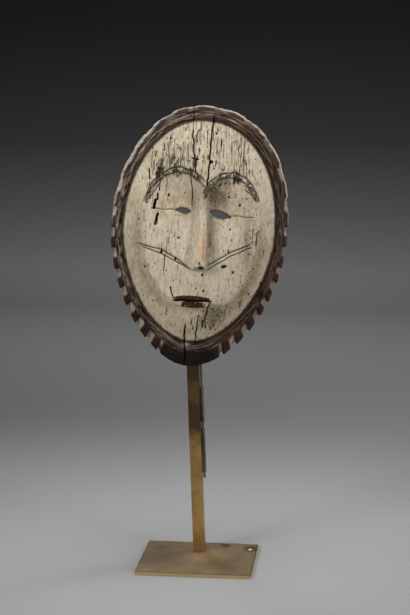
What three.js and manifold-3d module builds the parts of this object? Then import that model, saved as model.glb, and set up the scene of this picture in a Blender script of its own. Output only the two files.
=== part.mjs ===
// A Fang face mask with a toothed rim, carved from one block of wood, on its brass stand.
// Millimetres, +Z up, origin at the middle of the base plate's underside, front towards -Y.
import * as THREE from 'three';
import { mergeVertices } from 'three/addons/utils/BufferGeometryUtils.js';
import Module from 'manifold-3d';

const wasm = await Module();
wasm.setup();

const { degToRad, lerp, clamp, smoothstep } = THREE.MathUtils;

// Air left between pieces that touch
const GAP = 0.3;

// Stand: a thin plate, and a square post near its back edge that leans a little to the left
const PLATE = { width: 163, depth: 139, thickness: 5 };
const POST = { side: 16.5, footX: -1.9, footY: 32.8, topZ: 350, lean: degToRad(1.9) };

// Bracket: a round rod held in two sleeves on the right side of the post
const ROD_RADIUS = 1.6;
const ROD_SIDES = 10;
const ROD_FOOT_Z = 114;
const ROD_LEAVES_POST_Z = 385;
const BRACKET_ARM_Z = 373;
const ROD_BEHIND_POST_MIDDLE = 3;
// In the mask's own frame: the top of its spine, as heights up the mask and forward of the band,
// and one of its two hooks, from its tip to the arm, as places across, up and forward
const SPINE_TOP = [[116.5, -38], [126.5, -37], [132.5, -34], [136.5, -30]];
const HOOK = [[44, -118, -29], [44, -116, -41], [42, -113, -48], [36, -110, -51]];
const SLEEVE = { outerRadius: 2.55, boreRadius: 1.95, sides: 20 };
const SLEEVE_HEIGHTS = { sleeve_upper: [197, 248], sleeve_lower: [122, 187] };

// Place of the mask: the middle of its face oval, and how it is turned
const MASK_MIDDLE = new THREE.Vector3(1.9, -14, 479.2);
const MASK_YAW = degToRad(11.3);
const MASK_ROLL = degToRad(4.4);
const MASK_LEAN_BACK = degToRad(4);

// Ovals of the mask: how far they reach from the middle, and how full each quarter is.
// The quarters are upper right, upper left, lower left and lower right.
const FACE_OVAL = { right: 106.5, left: 103.1, up: 149.6, down: 153.9, fullness: [2.16, 2, 1.81, 1.8] };
const BAND_OVAL = { right: 118, left: 113.5, up: 162.3, down: 166.5, fullness: [2.16, 2, 1.78, 1.8] };
const RIM_OVAL = { right: 128.5, left: 120.8, up: 172.3, down: 192, fullness: [2.3, 2, 1.77, 1.84] };

// Heights are counted forward from the plane of the dark band around the face
const FACE_EDGE_STEP = 1.5;
const DOME_HEIGHT = 24;
const DOME_ROUNDNESS = { forehead: 2.4, chin: 3.4, changesFrom: 20, changesTo: -70 };
// Cheeks and chin end in a soft shoulder: its reach, the height left there, and where it fades upwards
const SHOULDER = { reach: 0.77, height: 0.66, roundness: 2.2, share: 0.75, fadesFrom: 20, fadesTo: 85 };
const BORDER_GROOVE = { offset: 2.2, height: -2.2 };
const BAND_PROFILE = [[0.42, 0], [0.58, 0.9], [0.78, -0.8], [1, -0.3]];
const TOOTH_TIP_HEIGHT = -18;
const BEVEL_CURVE = 1.6;
const BEVEL_SHARES = [0.5, 1];
const BACK_HEIGHT = -46;
const BACK_EDGE_TAPER = 0.98;

// Teeth: places of their tips along the rim, up each side from the middle of the chin.
// A tooth reaches from its tip up to the next one, and the last place is where they end.
const TOOTH_TIPS = {
  right: [41, 54, 78, 104, 130, 153, 182, 204, 235, 263, 306, 351, 398, 438, 482],
  left: [38, 50, 74, 99, 126, 152, 180, 211, 240, 270, 312, 357, 397, 430, 466],
};
const NOTCH_DEPTH = { low: 5.5, high: 3, changesFrom: 160, changesTo: 300 };
const NOTCH_PROFILE = [[0, 0], [0.45, 0.1], [0.66, 0.9], [0.9, 1]];
// Behind the tips the notches fade out: how far back along the side, and how much of them is left
const NOTCH_FADES = [[0.5, 0.7], [1, 0]];
const TOOTH_SLANT = 0.06;
const CHIN_BLOCK_COLUMNS = 4;
const ARC_STEPS = 1500;

// Face: brows are arcs of ellipses, and under them the eye hollows fade out towards the cheek lines
const BROWS = [
  { x: -29.7, z: 14.4, halfWidth: 49, halfHeight: 67 },
  { x: 39.5, z: 8, halfWidth: 45.5, halfHeight: 70.5 },
];
const BROW_SLOPE = 7;
const EYE_HOLLOW = { besideNose: 8.5, outer: 5, fade: 78, changesFrom: 12, changesTo: 60 };
const CHEEK_LINE = { middleZ: -55, outerZ: -20, outerX: 78 };
const NOSE = { x: 3, rootZ: 60, tipZ: -50, rootHalf: 9, tipHalf: 14, rootRise: 8, tipRise: 17, bridge: 0.38 };
// How far below and above its ends the nose rises from the face
const NOSE_ENDS = { root: [-6, 8], tip: [-6, 2] };
const MOUTH = { x: -3.4, halfWidth: 25 };
const LIPS = [
  { z: -93.4, halfHeight: 4.2, rise: 3.6 },
  { z: -102, halfHeight: 4.2, rise: 3.2 },
];

// Facets of the face and of the cavity behind it
const FACE = { columns: 64, rows: 22, root: -12 };
const CAVITY = { columns: 40, rows: 8, deepest: 8, mouth: -58 };

// Eye slits, each from its outer corner over its upper lid to the inner corner and back below
const EYE_SLITS = [
  { outer: [-33.5, 25.8], over: [-22, 32.5], inner: [-14, 25], under: [-19, 17.5] },
  { outer: [41.5, 20.6], over: [26, 32], inner: [14.2, 26.4], under: [23, 12.5] },
];
const EYE_SLIT_DEPTHS = [-10, 60];

// Carved lines and cracks on the face: the path, its width and its depth
const CARVED_LINES = [
  { path: [[-82, -22], [-61, -27.4], [-41, -33.8], [-20.5, -45], [-6, -53]], width: 3, depth: 2.4 },
  { path: [[-76, -28], [-54.6, -33.2], [-36, -41], [-17, -50], [-2, -57]], width: 2.4, depth: 2 },
  { path: [[9, -51], [29.3, -37], [44, -27.5], [61.6, -19], [76, -13]], width: 3, depth: 2.4 },
  { path: [[11, -55], [31, -41.5], [51, -29.5], [66, -22], [80, -17]], width: 2.4, depth: 2 },
  { path: [[-70, 26], [-54, 25.8], [-31, 26]], width: 2, depth: 2 },
  { path: [[40, 22], [55, 23], [76, 22.5]], width: 2, depth: 2 },
  { path: [[-29, -98], [-15, -96.5], [-3, -97], [10, -96], [24, -96]], width: 4, depth: 7 },
];
const CRACKS = [
  { path: [[12, 158], [9.5, 135], [8, 101], [5, 58]], width: 3.2, depth: 9 },
  { path: [[-18, 87], [-14, 63], [-11.6, 29]], width: 2.4, depth: 5 },
  { path: [[-60, 46], [-62.5, 32], [-59, 14], [-62, 0]], width: 3, depth: 6 },
  { path: [[-10, -128], [-9, -152], [-6, -170], [-4, -190]], width: 3, depth: 6 },
  { path: [[7, -113], [6, -132], [8, -157]], width: 2.6, depth: 5 },
];
const BROW_LINE = { outset: 2.5, lowestZ: 34, width: 3.2, depth: 2.6, steps: 9 };
const CUTTER_CLEARANCE = 2;
const WELD_DISTANCE = 1e-4;
const LIP_FACETS = { around: 16, along: 8 };
const SLIT_SEGMENTS = 6;

// Turn a three.js geometry into a solid that can be cut and joined, and back
function toSolid(geometry) {
  const bare = geometry.clone();
  bare.deleteAttribute('normal');
  bare.deleteAttribute('uv');
  const merged = mergeVertices(bare, WELD_DISTANCE);
  return new wasm.Manifold(new wasm.Mesh({
    numProp: 3,
    vertProperties: new Float32Array(merged.attributes.position.array),
    triVerts: new Uint32Array(merged.index.array),
  }));
}

function toGeometry(solid) {
  const mesh = solid.getMesh();
  const geometry = new THREE.BufferGeometry();
  geometry.setAttribute('position', new THREE.BufferAttribute(mesh.vertProperties, 3));
  geometry.setIndex(new THREE.BufferAttribute(mesh.triVerts, 1));
  geometry.computeVertexNormals();
  return geometry;
}

// A closed mesh from vertices and triangles
function meshOf(vertices, triangles) {
  const geometry = new THREE.BufferGeometry().setFromPoints(vertices);
  geometry.setIndex(triangles);
  return geometry;
}

// A closed skin around rings of equal length, from a point in front to a point behind.
// Each four-sided cell is split along its shorter diagonal, which follows steps and ridges.
function skinRings(front, rings, back) {
  const count = rings[0].length;
  const vertices = [front, ...rings.flat(), back];
  const last = vertices.length - 1;
  const at = (ring, column) => 1 + ring * count + (column % count);
  const triangles = [];
  for (let column = 0; column < count; column++) {
    triangles.push(0, at(0, column), at(0, column + 1));
    for (let ring = 0; ring < rings.length - 1; ring++) {
      const inner = at(ring, column);
      const innerNext = at(ring, column + 1);
      const outer = at(ring + 1, column);
      const outerNext = at(ring + 1, column + 1);
      const rising = vertices[inner].distanceTo(vertices[outerNext]);
      const falling = vertices[outer].distanceTo(vertices[innerNext]);
      if (rising < falling) {
        triangles.push(inner, outer, outerNext, inner, outerNext, innerNext);
      } else {
        triangles.push(inner, outer, innerNext, outer, outerNext, innerNext);
      }
    }
    triangles.push(at(rings.length - 1, column), last, at(rings.length - 1, column + 1));
  }
  return meshOf(vertices, triangles);
}

// A point of the mask in its own frame: across, up, and forward of the band
function maskPoint(x, z, height) {
  return new THREE.Vector3(x, -height, z);
}

function polarPoint(angle, radius, height) {
  return maskPoint(radius * Math.cos(angle), radius * Math.sin(angle), height);
}

function ovalRadius(oval, angle) {
  const width = Math.cos(angle) >= 0 ? oval.right : oval.left;
  const height = Math.sin(angle) >= 0 ? oval.up : oval.down;
  const quarter = Math.floor(((angle / (2 * Math.PI)) % 1 + 1) * 4) % 4;
  const fullness = oval.fullness[quarter];
  const across = Math.abs(Math.cos(angle) / width) ** fullness;
  const along = Math.abs(Math.sin(angle) / height) ** fullness;
  return (across + along) ** (-1 / fullness);
}

// Height of the face: a dome with shoulders, hollowed under the brows, with the nose standing on it
function cheekLineZ(x) {
  return lerp(CHEEK_LINE.middleZ, CHEEK_LINE.outerZ, clamp(Math.abs(x) / CHEEK_LINE.outerX, 0, 1));
}

function insideBrow(brow, x, z) {
  const across = (x - brow.x) / brow.halfWidth;
  const above = Math.max(z - brow.z, 0) / brow.halfHeight;
  return (1 - Math.hypot(across, above)) * brow.halfWidth;
}

function eyeHollow(x, z) {
  const inside = Math.max(...BROWS.map((brow) => insideBrow(brow, x, z)));
  const { besideNose, outer, fade, changesFrom, changesTo } = EYE_HOLLOW;
  const depth = lerp(besideNose, outer, smoothstep(Math.abs(x), changesFrom, changesTo));
  const floor = cheekLineZ(x);
  return depth * smoothstep(inside, 0, BROW_SLOPE) * smoothstep(z, floor, floor + fade);
}

function noseRise(x, z) {
  const down = clamp((NOSE.rootZ - z) / (NOSE.rootZ - NOSE.tipZ), 0, 1);
  const fromRidge = Math.min(Math.abs(x - NOSE.x) / lerp(NOSE.rootHalf, NOSE.tipHalf, down), 1);
  const rootEnd = 1 - smoothstep(z - NOSE.rootZ, ...NOSE_ENDS.root);
  const tipEnd = smoothstep(z - NOSE.tipZ, ...NOSE_ENDS.tip);
  const rise = lerp(NOSE.rootRise, NOSE.tipRise, down);
  return rise * (1 - smoothstep(fromRidge, NOSE.bridge, 1)) * rootEnd * tipEnd;
}

function domeHeight(x, z) {
  const reach = Math.min(Math.hypot(x, z) / ovalRadius(FACE_OVAL, Math.atan2(z, x)), 1);
  const { forehead, chin, changesFrom, changesTo } = DOME_ROUNDNESS;
  const roundness = lerp(chin, forehead, smoothstep(z, changesTo, changesFrom));
  const front = lerp(1, SHOULDER.height, (reach / SHOULDER.reach) ** SHOULDER.roundness);
  const slope = (SHOULDER.height * (1 - reach)) / (1 - SHOULDER.reach);
  const shouldered = SHOULDER.share * (1 - smoothstep(z, SHOULDER.fadesFrom, SHOULDER.fadesTo));
  return FACE_EDGE_STEP + DOME_HEIGHT * lerp(1 - reach ** roundness, Math.min(front, slope), shouldered);
}

function faceHeight(x, z) {
  return domeHeight(x, z) - eyeHollow(x, z) + noseRise(x, z);
}

// Height of the slope from the band out to the tooth tips, for a share of the way
function bevelHeight(share) {
  return TOOTH_TIP_HEIGHT * clamp(share, 0, 1) ** BEVEL_CURVE;
}

// Height of the carved front anywhere on the mask
function frontHeight(x, z) {
  const angle = Math.atan2(z, x);
  const radius = Math.hypot(x, z);
  if (radius < ovalRadius(FACE_OVAL, angle)) {
    return faceHeight(x, z);
  }
  const band = ovalRadius(BAND_OVAL, angle);
  return bevelHeight((radius - band) / (ovalRadius(RIM_OVAL, angle) - band));
}

// Columns of the rim: each tooth is a lobe that droops towards the chin and is cut back above
function notchDepth(arc) {
  const { low, high, changesFrom, changesTo } = NOTCH_DEPTH;
  return lerp(low, high, smoothstep(arc, changesFrom, changesTo));
}

// Walk up one side of the rim from the chin, and give a column at each place asked for
function sideColumns(tips, direction) {
  const angles = [];
  const arcs = [];
  let arc = 0;
  let previous = polarPoint(-Math.PI / 2, RIM_OVAL.down, 0);
  for (let step = 0; step <= ARC_STEPS; step++) {
    const angle = -Math.PI / 2 + (direction * step * Math.PI) / ARC_STEPS;
    const point = polarPoint(angle, ovalRadius(RIM_OVAL, angle), 0);
    arc += point.distanceTo(previous);
    previous = point;
    angles.push(angle);
    arcs.push(arc);
  }
  const columnAt = (place, notch) => ({ angle: angles[arcs.findIndex((value) => value >= place)], notch });
  const columns = [];
  for (let column = 1; column < CHIN_BLOCK_COLUMNS; column++) {
    columns.push(columnAt((tips[0] * column) / CHIN_BLOCK_COLUMNS, 0));
  }
  for (let tooth = 0; tooth < tips.length - 1; tooth++) {
    const length = tips[tooth + 1] - tips[tooth];
    for (const [along, cut] of NOTCH_PROFILE) {
      columns.push(columnAt(tips[tooth] + along * length, cut * notchDepth(tips[tooth])));
    }
  }
  return [...columns, columnAt(tips[tips.length - 1], 0)];
}

function rimColumns() {
  const right = sideColumns(TOOTH_TIPS.right, 1);
  const left = sideColumns(TOOTH_TIPS.left, -1).reverse();
  const chin = { angle: -Math.PI / 2, notch: 0 };
  const crown = { angle: Math.PI / 2, notch: 0 };
  const leftTurned = left.map((column) => ({ angle: column.angle + 2 * Math.PI, notch: column.notch }));
  return [chin, ...right, crown, ...leftTurned];
}

function evenAngles(count) {
  return Array.from({ length: count }, (unused, index) => (index / count) * 2 * Math.PI);
}

// The face: rings of points from its middle to its edge, on a short wall that goes into the wood
function faceSolid() {
  const rings = [];
  for (let row = 1; row <= FACE.rows; row++) {
    rings.push(evenAngles(FACE.columns).map((angle) => {
      const radius = (ovalRadius(FACE_OVAL, angle) * row) / FACE.rows;
      return polarPoint(angle, radius, faceHeight(radius * Math.cos(angle), radius * Math.sin(angle)));
    }));
  }
  const wallFoot = (angle) => polarPoint(angle, ovalRadius(FACE_OVAL, angle), FACE.root);
  rings.push(evenAngles(FACE.columns).map(wallFoot));
  return toSolid(skinRings(maskPoint(0, 0, faceHeight(0, 0)), rings, maskPoint(0, 0, FACE.root)));
}

// The wood around and behind the face: border groove, band, toothed rim and flat back
function rimSolid() {
  const columns = rimColumns();
  const rings = [];
  const addRing = (place) => rings.push(columns.map(place));
  const frontAngle = (column) => column.angle + TOOTH_SLANT * Math.cos(column.angle);
  addRing((column) => {
    const angle = frontAngle(column);
    return polarPoint(angle, ovalRadius(FACE_OVAL, angle) + BORDER_GROOVE.offset, BORDER_GROOVE.height);
  });
  for (const [share, height] of BAND_PROFILE) {
    addRing((column) => {
      const angle = frontAngle(column);
      const radius = lerp(ovalRadius(FACE_OVAL, angle), ovalRadius(BAND_OVAL, angle), share);
      return polarPoint(angle, radius, height);
    });
  }
  for (const share of BEVEL_SHARES) {
    addRing((column) => {
      const angle = lerp(frontAngle(column), column.angle, share);
      const tip = ovalRadius(RIM_OVAL, angle) - column.notch;
      return polarPoint(angle, lerp(ovalRadius(BAND_OVAL, angle), tip, share), bevelHeight(share));
    });
  }
  for (const [share, left] of NOTCH_FADES) {
    const height = lerp(TOOTH_TIP_HEIGHT, BACK_HEIGHT, share);
    addRing((column) => {
      const radius = ovalRadius(RIM_OVAL, column.angle) * lerp(1, BACK_EDGE_TAPER, share);
      return polarPoint(column.angle, radius - column.notch * left, height);
    });
  }
  return toSolid(skinRings(maskPoint(0, 0, BORDER_GROOVE.height), rings, maskPoint(0, 0, BACK_HEIGHT)));
}

function cavitySolid() {
  const rings = [];
  for (let row = 1; row <= CAVITY.rows; row++) {
    const reach = Math.sin((row / CAVITY.rows) * (Math.PI / 2));
    const height = lerp(CAVITY.mouth, CAVITY.deepest, Math.sqrt(1 - reach ** 3));
    const place = (angle) => polarPoint(angle, reach * ovalRadius(FACE_OVAL, angle), height);
    rings.push(evenAngles(CAVITY.columns).map(place));
  }
  return toSolid(skinRings(maskPoint(0, 0, CAVITY.deepest), rings, maskPoint(0, 0, CAVITY.mouth)));
}

// A V-shaped groove along a path on the carved front, running out to nothing at both ends
function grooveCutter({ path, width, depth }) {
  const points = path.map(([x, z]) => new THREE.Vector2(x, z));
  const spread = (width / 2) * (1 + CUTTER_CLEARANCE / depth);
  const vertices = [];
  points.forEach((point, index) => {
    const surface = frontHeight(point.x, point.y);
    if (index === 0 || index === points.length - 1) {
      vertices.push(maskPoint(point.x, point.y, surface + CUTTER_CLEARANCE));
      return;
    }
    const along = points[index + 1].clone().sub(points[index - 1]).normalize();
    const left = new THREE.Vector2(-along.y, along.x).multiplyScalar(spread);
    vertices.push(maskPoint(point.x + left.x, point.y + left.y, surface + CUTTER_CLEARANCE));
    vertices.push(maskPoint(point.x, point.y, surface - depth));
    vertices.push(maskPoint(point.x - left.x, point.y - left.y, surface + CUTTER_CLEARANCE));
  });
  const sections = points.length - 2;
  const end = vertices.length - 1;
  const triangles = [];
  for (let edge = 0; edge < 3; edge++) {
    const next = (edge + 1) % 3;
    triangles.push(0, 1 + edge, 1 + next);
    for (let section = 0; section < sections - 1; section++) {
      const here = 1 + 3 * section;
      const there = here + 3;
      triangles.push(here + edge, there + edge, there + next, here + edge, there + next, here + next);
    }
    const tail = 1 + 3 * (sections - 1);
    triangles.push(tail + edge, end, tail + next);
  }
  return toSolid(meshOf(vertices, triangles));
}

// The incised line along a brow, from its outer end over the top to the root of the nose
function browLine(brow) {
  const side = Math.sign(brow.x);
  const across = brow.halfWidth + BROW_LINE.outset;
  const above = brow.halfHeight + BROW_LINE.outset;
  const outerAngle = Math.asin((BROW_LINE.lowestZ - brow.z) / above);
  const innerAngle = Math.acos((side * (NOSE.x - brow.x)) / across);
  const path = [];
  for (let step = 0; step <= BROW_LINE.steps; step++) {
    const angle = lerp(outerAngle, innerAngle, step / BROW_LINE.steps);
    path.push([brow.x + side * across * Math.cos(angle), brow.z + above * Math.sin(angle)]);
  }
  return { path, width: BROW_LINE.width, depth: BROW_LINE.depth };
}

function lipSolid(lip) {
  const ellipsoid = new THREE.SphereGeometry(1, LIP_FACETS.around, LIP_FACETS.along);
  ellipsoid.rotateZ(Math.PI / 2);
  ellipsoid.scale(MOUTH.halfWidth, lip.rise + CUTTER_CLEARANCE, lip.halfHeight);
  ellipsoid.translate(MOUTH.x, CUTTER_CLEARANCE - faceHeight(MOUTH.x, lip.z), lip.z);
  return toSolid(ellipsoid);
}

function eyeSlitCutter({ outer, over, inner, under }) {
  const outline = new THREE.Shape();
  outline.moveTo(...outer);
  outline.quadraticCurveTo(...over, ...inner);
  outline.quadraticCurveTo(...under, ...outer);
  const [behind, ahead] = EYE_SLIT_DEPTHS;
  const options = { depth: ahead - behind, bevelEnabled: false, curveSegments: SLIT_SEGMENTS };
  const slot = new THREE.ExtrudeGeometry(outline, options);
  slot.rotateX(Math.PI / 2);
  slot.translate(0, -behind, 0);
  return toSolid(slot);
}

function carvedMask() {
  let solid = rimSolid().add(faceSolid());
  for (const lip of LIPS) {
    solid = solid.add(lipSolid(lip));
  }
  const grooves = [...CARVED_LINES, ...CRACKS, ...BROWS.map(browLine)];
  const cutters = [cavitySolid(), ...EYE_SLITS.map(eyeSlitCutter), ...grooves.map(grooveCutter)];
  for (const cutter of cutters) {
    solid = solid.subtract(cutter);
  }
  return toGeometry(solid);
}

function placeMask(object) {
  object.position.copy(MASK_MIDDLE);
  object.rotation.set(-MASK_LEAN_BACK, MASK_ROLL, MASK_YAW, 'ZYX');
  object.updateMatrix();
  return object;
}

// Stand pieces: a line up the leaning post, offset from its axis
function alongPost(right, behind, z) {
  const drift = -(z - PLATE.thickness) * Math.tan(POST.lean);
  return new THREE.Vector3(POST.footX + right + drift, POST.footY + behind, z);
}

function postGeometry() {
  const foot = PLATE.thickness + GAP;
  const post = new THREE.BoxGeometry(POST.side, POST.side, POST.topZ - foot);
  post.translate(0, 0, (POST.topZ + foot) / 2);
  const position = post.attributes.position;
  for (let index = 0; index < position.count; index++) {
    const shifted = alongPost(position.getX(index), position.getY(index), position.getZ(index));
    position.setXYZ(index, shifted.x, shifted.y, shifted.z);
  }
  return post;
}

const SLEEVE_RIGHT = POST.side / 2 + GAP + SLEEVE.outerRadius;

function sleeveGeometry(bottom, top) {
  const { outerRadius, boreRadius } = SLEEVE;
  const half = (top - bottom) / 2;
  const corners = [[boreRadius, -half], [outerRadius, -half], [outerRadius, half], [boreRadius, half]];
  const wall = [...corners, corners[0]].map(([radius, up]) => new THREE.Vector2(radius, up));
  const tube = new THREE.LatheGeometry(wall, SLEEVE.sides);
  tube.rotateX(Math.PI / 2);
  tube.rotateY(-POST.lean);
  const middle = alongPost(SLEEVE_RIGHT, ROD_BEHIND_POST_MIDDLE, (bottom + top) / 2);
  return tube.translate(middle.x, middle.y, middle.z);
}

// A round rod through points, whose rings start from the sideways direction
function rodSolid(points, sideways) {
  const rings = points.map((point, index) => {
    const before = points[Math.max(index - 1, 0)];
    const after = points[Math.min(index + 1, points.length - 1)];
    const along = after.clone().sub(before).normalize();
    const right = sideways.clone().addScaledVector(along, -sideways.dot(along)).normalize();
    const up = right.clone().cross(along);
    return evenAngles(ROD_SIDES).map((angle) => point.clone()
      .addScaledVector(right, ROD_RADIUS * Math.cos(angle))
      .addScaledVector(up, ROD_RADIUS * Math.sin(angle)));
  });
  return toSolid(skinRings(points[0], rings, points[points.length - 1]));
}

function bracketGeometry() {
  const frame = placeMask(new THREE.Object3D()).matrix;
  const inMask = (x, z, height) => maskPoint(x, z, height).applyMatrix4(frame);
  const onPost = (z) => alongPost(SLEEVE_RIGHT, ROD_BEHIND_POST_MIDDLE, z);
  const rise = SPINE_TOP.map(([up, forward]) => inMask(0, up, forward));
  const spinePoints = [onPost(ROD_FOOT_Z), onPost(ROD_LEAVES_POST_Z), ...rise];
  const spine = rodSolid(spinePoints, new THREE.Vector3(1, 0, 0));
  const hook = (side) => HOOK.map(([across, up, forward]) => inMask(side * across, up, forward));
  const armPoints = [...hook(-1), onPost(BRACKET_ARM_Z), ...hook(1).reverse()];
  const arm = rodSolid(armPoints, new THREE.Vector3(0, 0, 1));
  return toGeometry(spine.add(arm));
}

// Materials
const woodWithKaolin = new THREE.MeshStandardMaterial({ color: '#b8ab91', roughness: 0.9, metalness: 0 });
const plateBrass = new THREE.MeshStandardMaterial({ color: '#6f5c3a', roughness: 0.42, metalness: 1 });
const postBrass = new THREE.MeshStandardMaterial({ color: '#94703c', roughness: 0.38, metalness: 1 });
const bracketBrass = new THREE.MeshStandardMaterial({ color: '#6b5a42', roughness: 0.5, metalness: 1 });

function namedMesh(name, geometry, material) {
  const mesh = new THREE.Mesh(geometry, material);
  mesh.name = name;
  return mesh;
}

function basePlate() {
  const plate = new THREE.BoxGeometry(PLATE.width, PLATE.depth, PLATE.thickness);
  return namedMesh('base_plate', plate.translate(0, 0, PLATE.thickness / 2), plateBrass);
}

const maskOnStand = new THREE.Group();
maskOnStand.add(basePlate());
maskOnStand.add(namedMesh('post', postGeometry(), postBrass));
for (const [name, [bottom, top]] of Object.entries(SLEEVE_HEIGHTS)) {
  maskOnStand.add(namedMesh(name, sleeveGeometry(bottom, top), bracketBrass));
}
maskOnStand.add(namedMesh('bracket', bracketGeometry(), bracketBrass));
maskOnStand.add(placeMask(namedMesh('mask', carvedMask(), woodWithKaolin)));

export default maskOnStand;
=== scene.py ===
"""A Fang face mask with a toothed rim on its brass stand: the looks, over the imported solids."""
import math

import bmesh
import bpy
import numpy as np
from mathutils import Matrix, Vector


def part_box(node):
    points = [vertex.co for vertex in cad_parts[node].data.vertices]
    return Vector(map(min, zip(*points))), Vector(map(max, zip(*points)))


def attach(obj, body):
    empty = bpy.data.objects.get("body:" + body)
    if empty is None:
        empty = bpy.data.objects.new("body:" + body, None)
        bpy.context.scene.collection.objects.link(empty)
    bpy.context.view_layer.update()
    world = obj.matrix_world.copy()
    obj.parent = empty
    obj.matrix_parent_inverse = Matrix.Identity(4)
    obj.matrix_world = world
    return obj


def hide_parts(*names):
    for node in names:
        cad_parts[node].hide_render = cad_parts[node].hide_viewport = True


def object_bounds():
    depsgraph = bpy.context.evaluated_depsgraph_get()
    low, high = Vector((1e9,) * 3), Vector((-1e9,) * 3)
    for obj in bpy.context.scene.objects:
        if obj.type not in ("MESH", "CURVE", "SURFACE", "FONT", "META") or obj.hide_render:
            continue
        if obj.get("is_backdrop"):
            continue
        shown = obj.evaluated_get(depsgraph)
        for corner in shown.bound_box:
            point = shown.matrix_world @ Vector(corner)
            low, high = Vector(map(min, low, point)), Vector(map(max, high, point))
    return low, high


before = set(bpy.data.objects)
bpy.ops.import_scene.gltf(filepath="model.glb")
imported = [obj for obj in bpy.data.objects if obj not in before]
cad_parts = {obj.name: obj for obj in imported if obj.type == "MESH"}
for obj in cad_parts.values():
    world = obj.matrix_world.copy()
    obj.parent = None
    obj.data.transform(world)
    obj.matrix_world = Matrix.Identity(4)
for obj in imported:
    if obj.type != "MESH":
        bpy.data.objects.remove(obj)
cad_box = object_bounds()

MM = 0.001

# A turn in radians times one of these gives millimetres along the band, or along the teeth
BAND_TURN = 130
TEETH_TURN = 125
# Across the band the noise of its colour is squeezed by this much
BAND_SQUEEZE = 8
# Unevenness of the band's height
BAND_ROUGHNESS = 0.55
# Millimetres of torn fibres from the band to the tips of the teeth, and from there to the back edge,
# how far the fibres draw the surface in, and how high they stand on the bevel
BEVEL_FIBRES = 22
SIDE_FIBRES = 30
FIBRE_INSET = 0.5
FIBRE_RELIEF = 0.4

# Place of the mask, in millimetres and degrees: the middle of its face oval, and how it is turned
MASK_MIDDLE = (1.9, -14.0, 479.2)
MASK_YAW = 11.3
MASK_ROLL = 4.4
MASK_LEAN_BACK = 4.0

# Ovals of the mask: how far they reach from the middle, and how full each quarter is.
# The quarters are upper right, upper left, lower left and lower right.
FACE_OVAL = dict(right=106.5, left=103.1, up=149.6, down=153.9, fullness=(2.16, 2.0, 1.81, 1.8))
BAND_OVAL = dict(right=118.0, left=113.5, up=162.3, down=166.5, fullness=(2.16, 2.0, 1.78, 1.8))
RIM_OVAL = dict(right=128.5, left=120.8, up=172.3, down=192.0, fullness=(2.3, 2.0, 1.77, 1.84))

# Heights are counted forward from the plane of the dark band around the face
FACE_EDGE_STEP = 1.5
DOME_HEIGHT = 24.0
DOME_ROUNDNESS = dict(forehead=2.4, chin=3.4, changes_from=20.0, changes_to=-70.0)
# Cheeks and chin end in a soft shoulder: its reach, the height left there, and where it fades upwards
SHOULDER = dict(reach=0.77, height=0.66, roundness=2.2, share=0.75, fades_from=20.0, fades_to=85.0)
BORDER_GROOVE = dict(offset=2.2, height=-2.2)
BAND_PROFILE = [(0.42, 0.0), (0.58, 0.9), (0.78, -0.8), (1.0, -0.3)]
TOOTH_TIP_HEIGHT = -18.0
BEVEL_CURVE = 1.6
BACK_HEIGHT = -46.0
BACK_EDGE_TAPER = 0.98
# The fine surface lies this much inside the solid's outline, so that its fibres stay within it
OUTLINE_INSET = 0.25

# Teeth: places of their tips along the rim, up each side from the middle of the chin.
# A tooth reaches from its tip up to the next one, and the last place is where they end.
TOOTH_TIPS = dict(
    right=(41, 54, 78, 104, 130, 153, 182, 204, 235, 263, 306, 351, 398, 438, 482),
    left=(38, 50, 74, 99, 126, 152, 180, 211, 240, 270, 312, 357, 397, 430, 466),
)
NOTCH_DEPTH = dict(low=5.5, high=1.4, changes_from=160.0, changes_to=300.0)
NOTCH_PROFILE = [(0, 0), (0.45, 0.1), (0.66, 0.9), (0.9, 1), (1, 0)]
# Behind the tips the notches fade out: how far back along the side, and how much of them is left
NOTCH_FADES = [(0, 1), (0.5, 0.7), (1, 0)]
# Grooves that run from the band to the notches, and how much the teeth swell between them
TOOTH_GROOVE = 2.4
TOOTH_SWELL = 1.5
TOOTH_SLANT = 0.06

# Brows, eye hollows, nose and mouth
BROWS = [
    dict(x=-29.7, z=14.4, half_width=49.0, half_height=67.0),
    dict(x=39.5, z=8.0, half_width=45.5, half_height=70.5),
]
BROW_SLOPE = 7.0
EYE_HOLLOW = dict(beside_nose=8.5, outer=5.0, fade=78.0, changes_from=12.0, changes_to=60.0)
CHEEK_LINE = dict(middle_z=-55.0, outer_z=-20.0, outer_x=78.0)
NOSE = dict(
    x=3.0, root_z=60.0, tip_z=-50.0, root_half=9.0, tip_half=14.0, root_rise=8.0, tip_rise=17.0, bridge=0.38,
)
# How far below and above its ends the nose rises from the face
NOSE_ENDS = dict(root=(-6.0, 8.0), tip=(-6.0, 2.0))
MOUTH_X = -3.4
MOUTH_HALF = 25.0
LIPS = [dict(z=-93.4, half_height=4.2, rise=3.6), dict(z=-102.0, half_height=4.2, rise=3.2)]
CAVITY = dict(deepest=8.0, mouth=-58.0, columns=200, rows=46)

# Edge of the front plane of the face: down from the left temple, under the mouth, up to the right temple
FRONT_PLANE = [
    (-82.5, 48), (-81, 26), (-79.6, 4.6), (-77, -24), (-71.7, -44.5), (-64.5, -62.3), (-54.2, -79.9),
    (-42.7, -91.3), (-32, -97), (43.2, -101.2), (53.8, -92.3), (62.7, -80.7), (70.9, -60.8), (76.4, -42.5),
    (80.4, -20.2), (78.7, 4.5), (79.3, 32), (80, 43),
]
# The step along it, where it fades upwards, and how far and over what length its edge wavers
FRONT_PLANE_STEP = dict(height=2.0, reach=2.4, fades_from=14.0, fades_to=42.0, waver=1.4, cell=12)

# Eye slits: outer corner, control over the upper lid, inner corner, control below
EYE_SLITS = [
    ((-33.5, 25.8), (-22.0, 32.5), (-14.0, 25.0), (-19.0, 17.5)),
    ((41.5, 20.6), (26.0, 32.0), (14.2, 26.4), (23.0, 12.5)),
]
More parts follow.
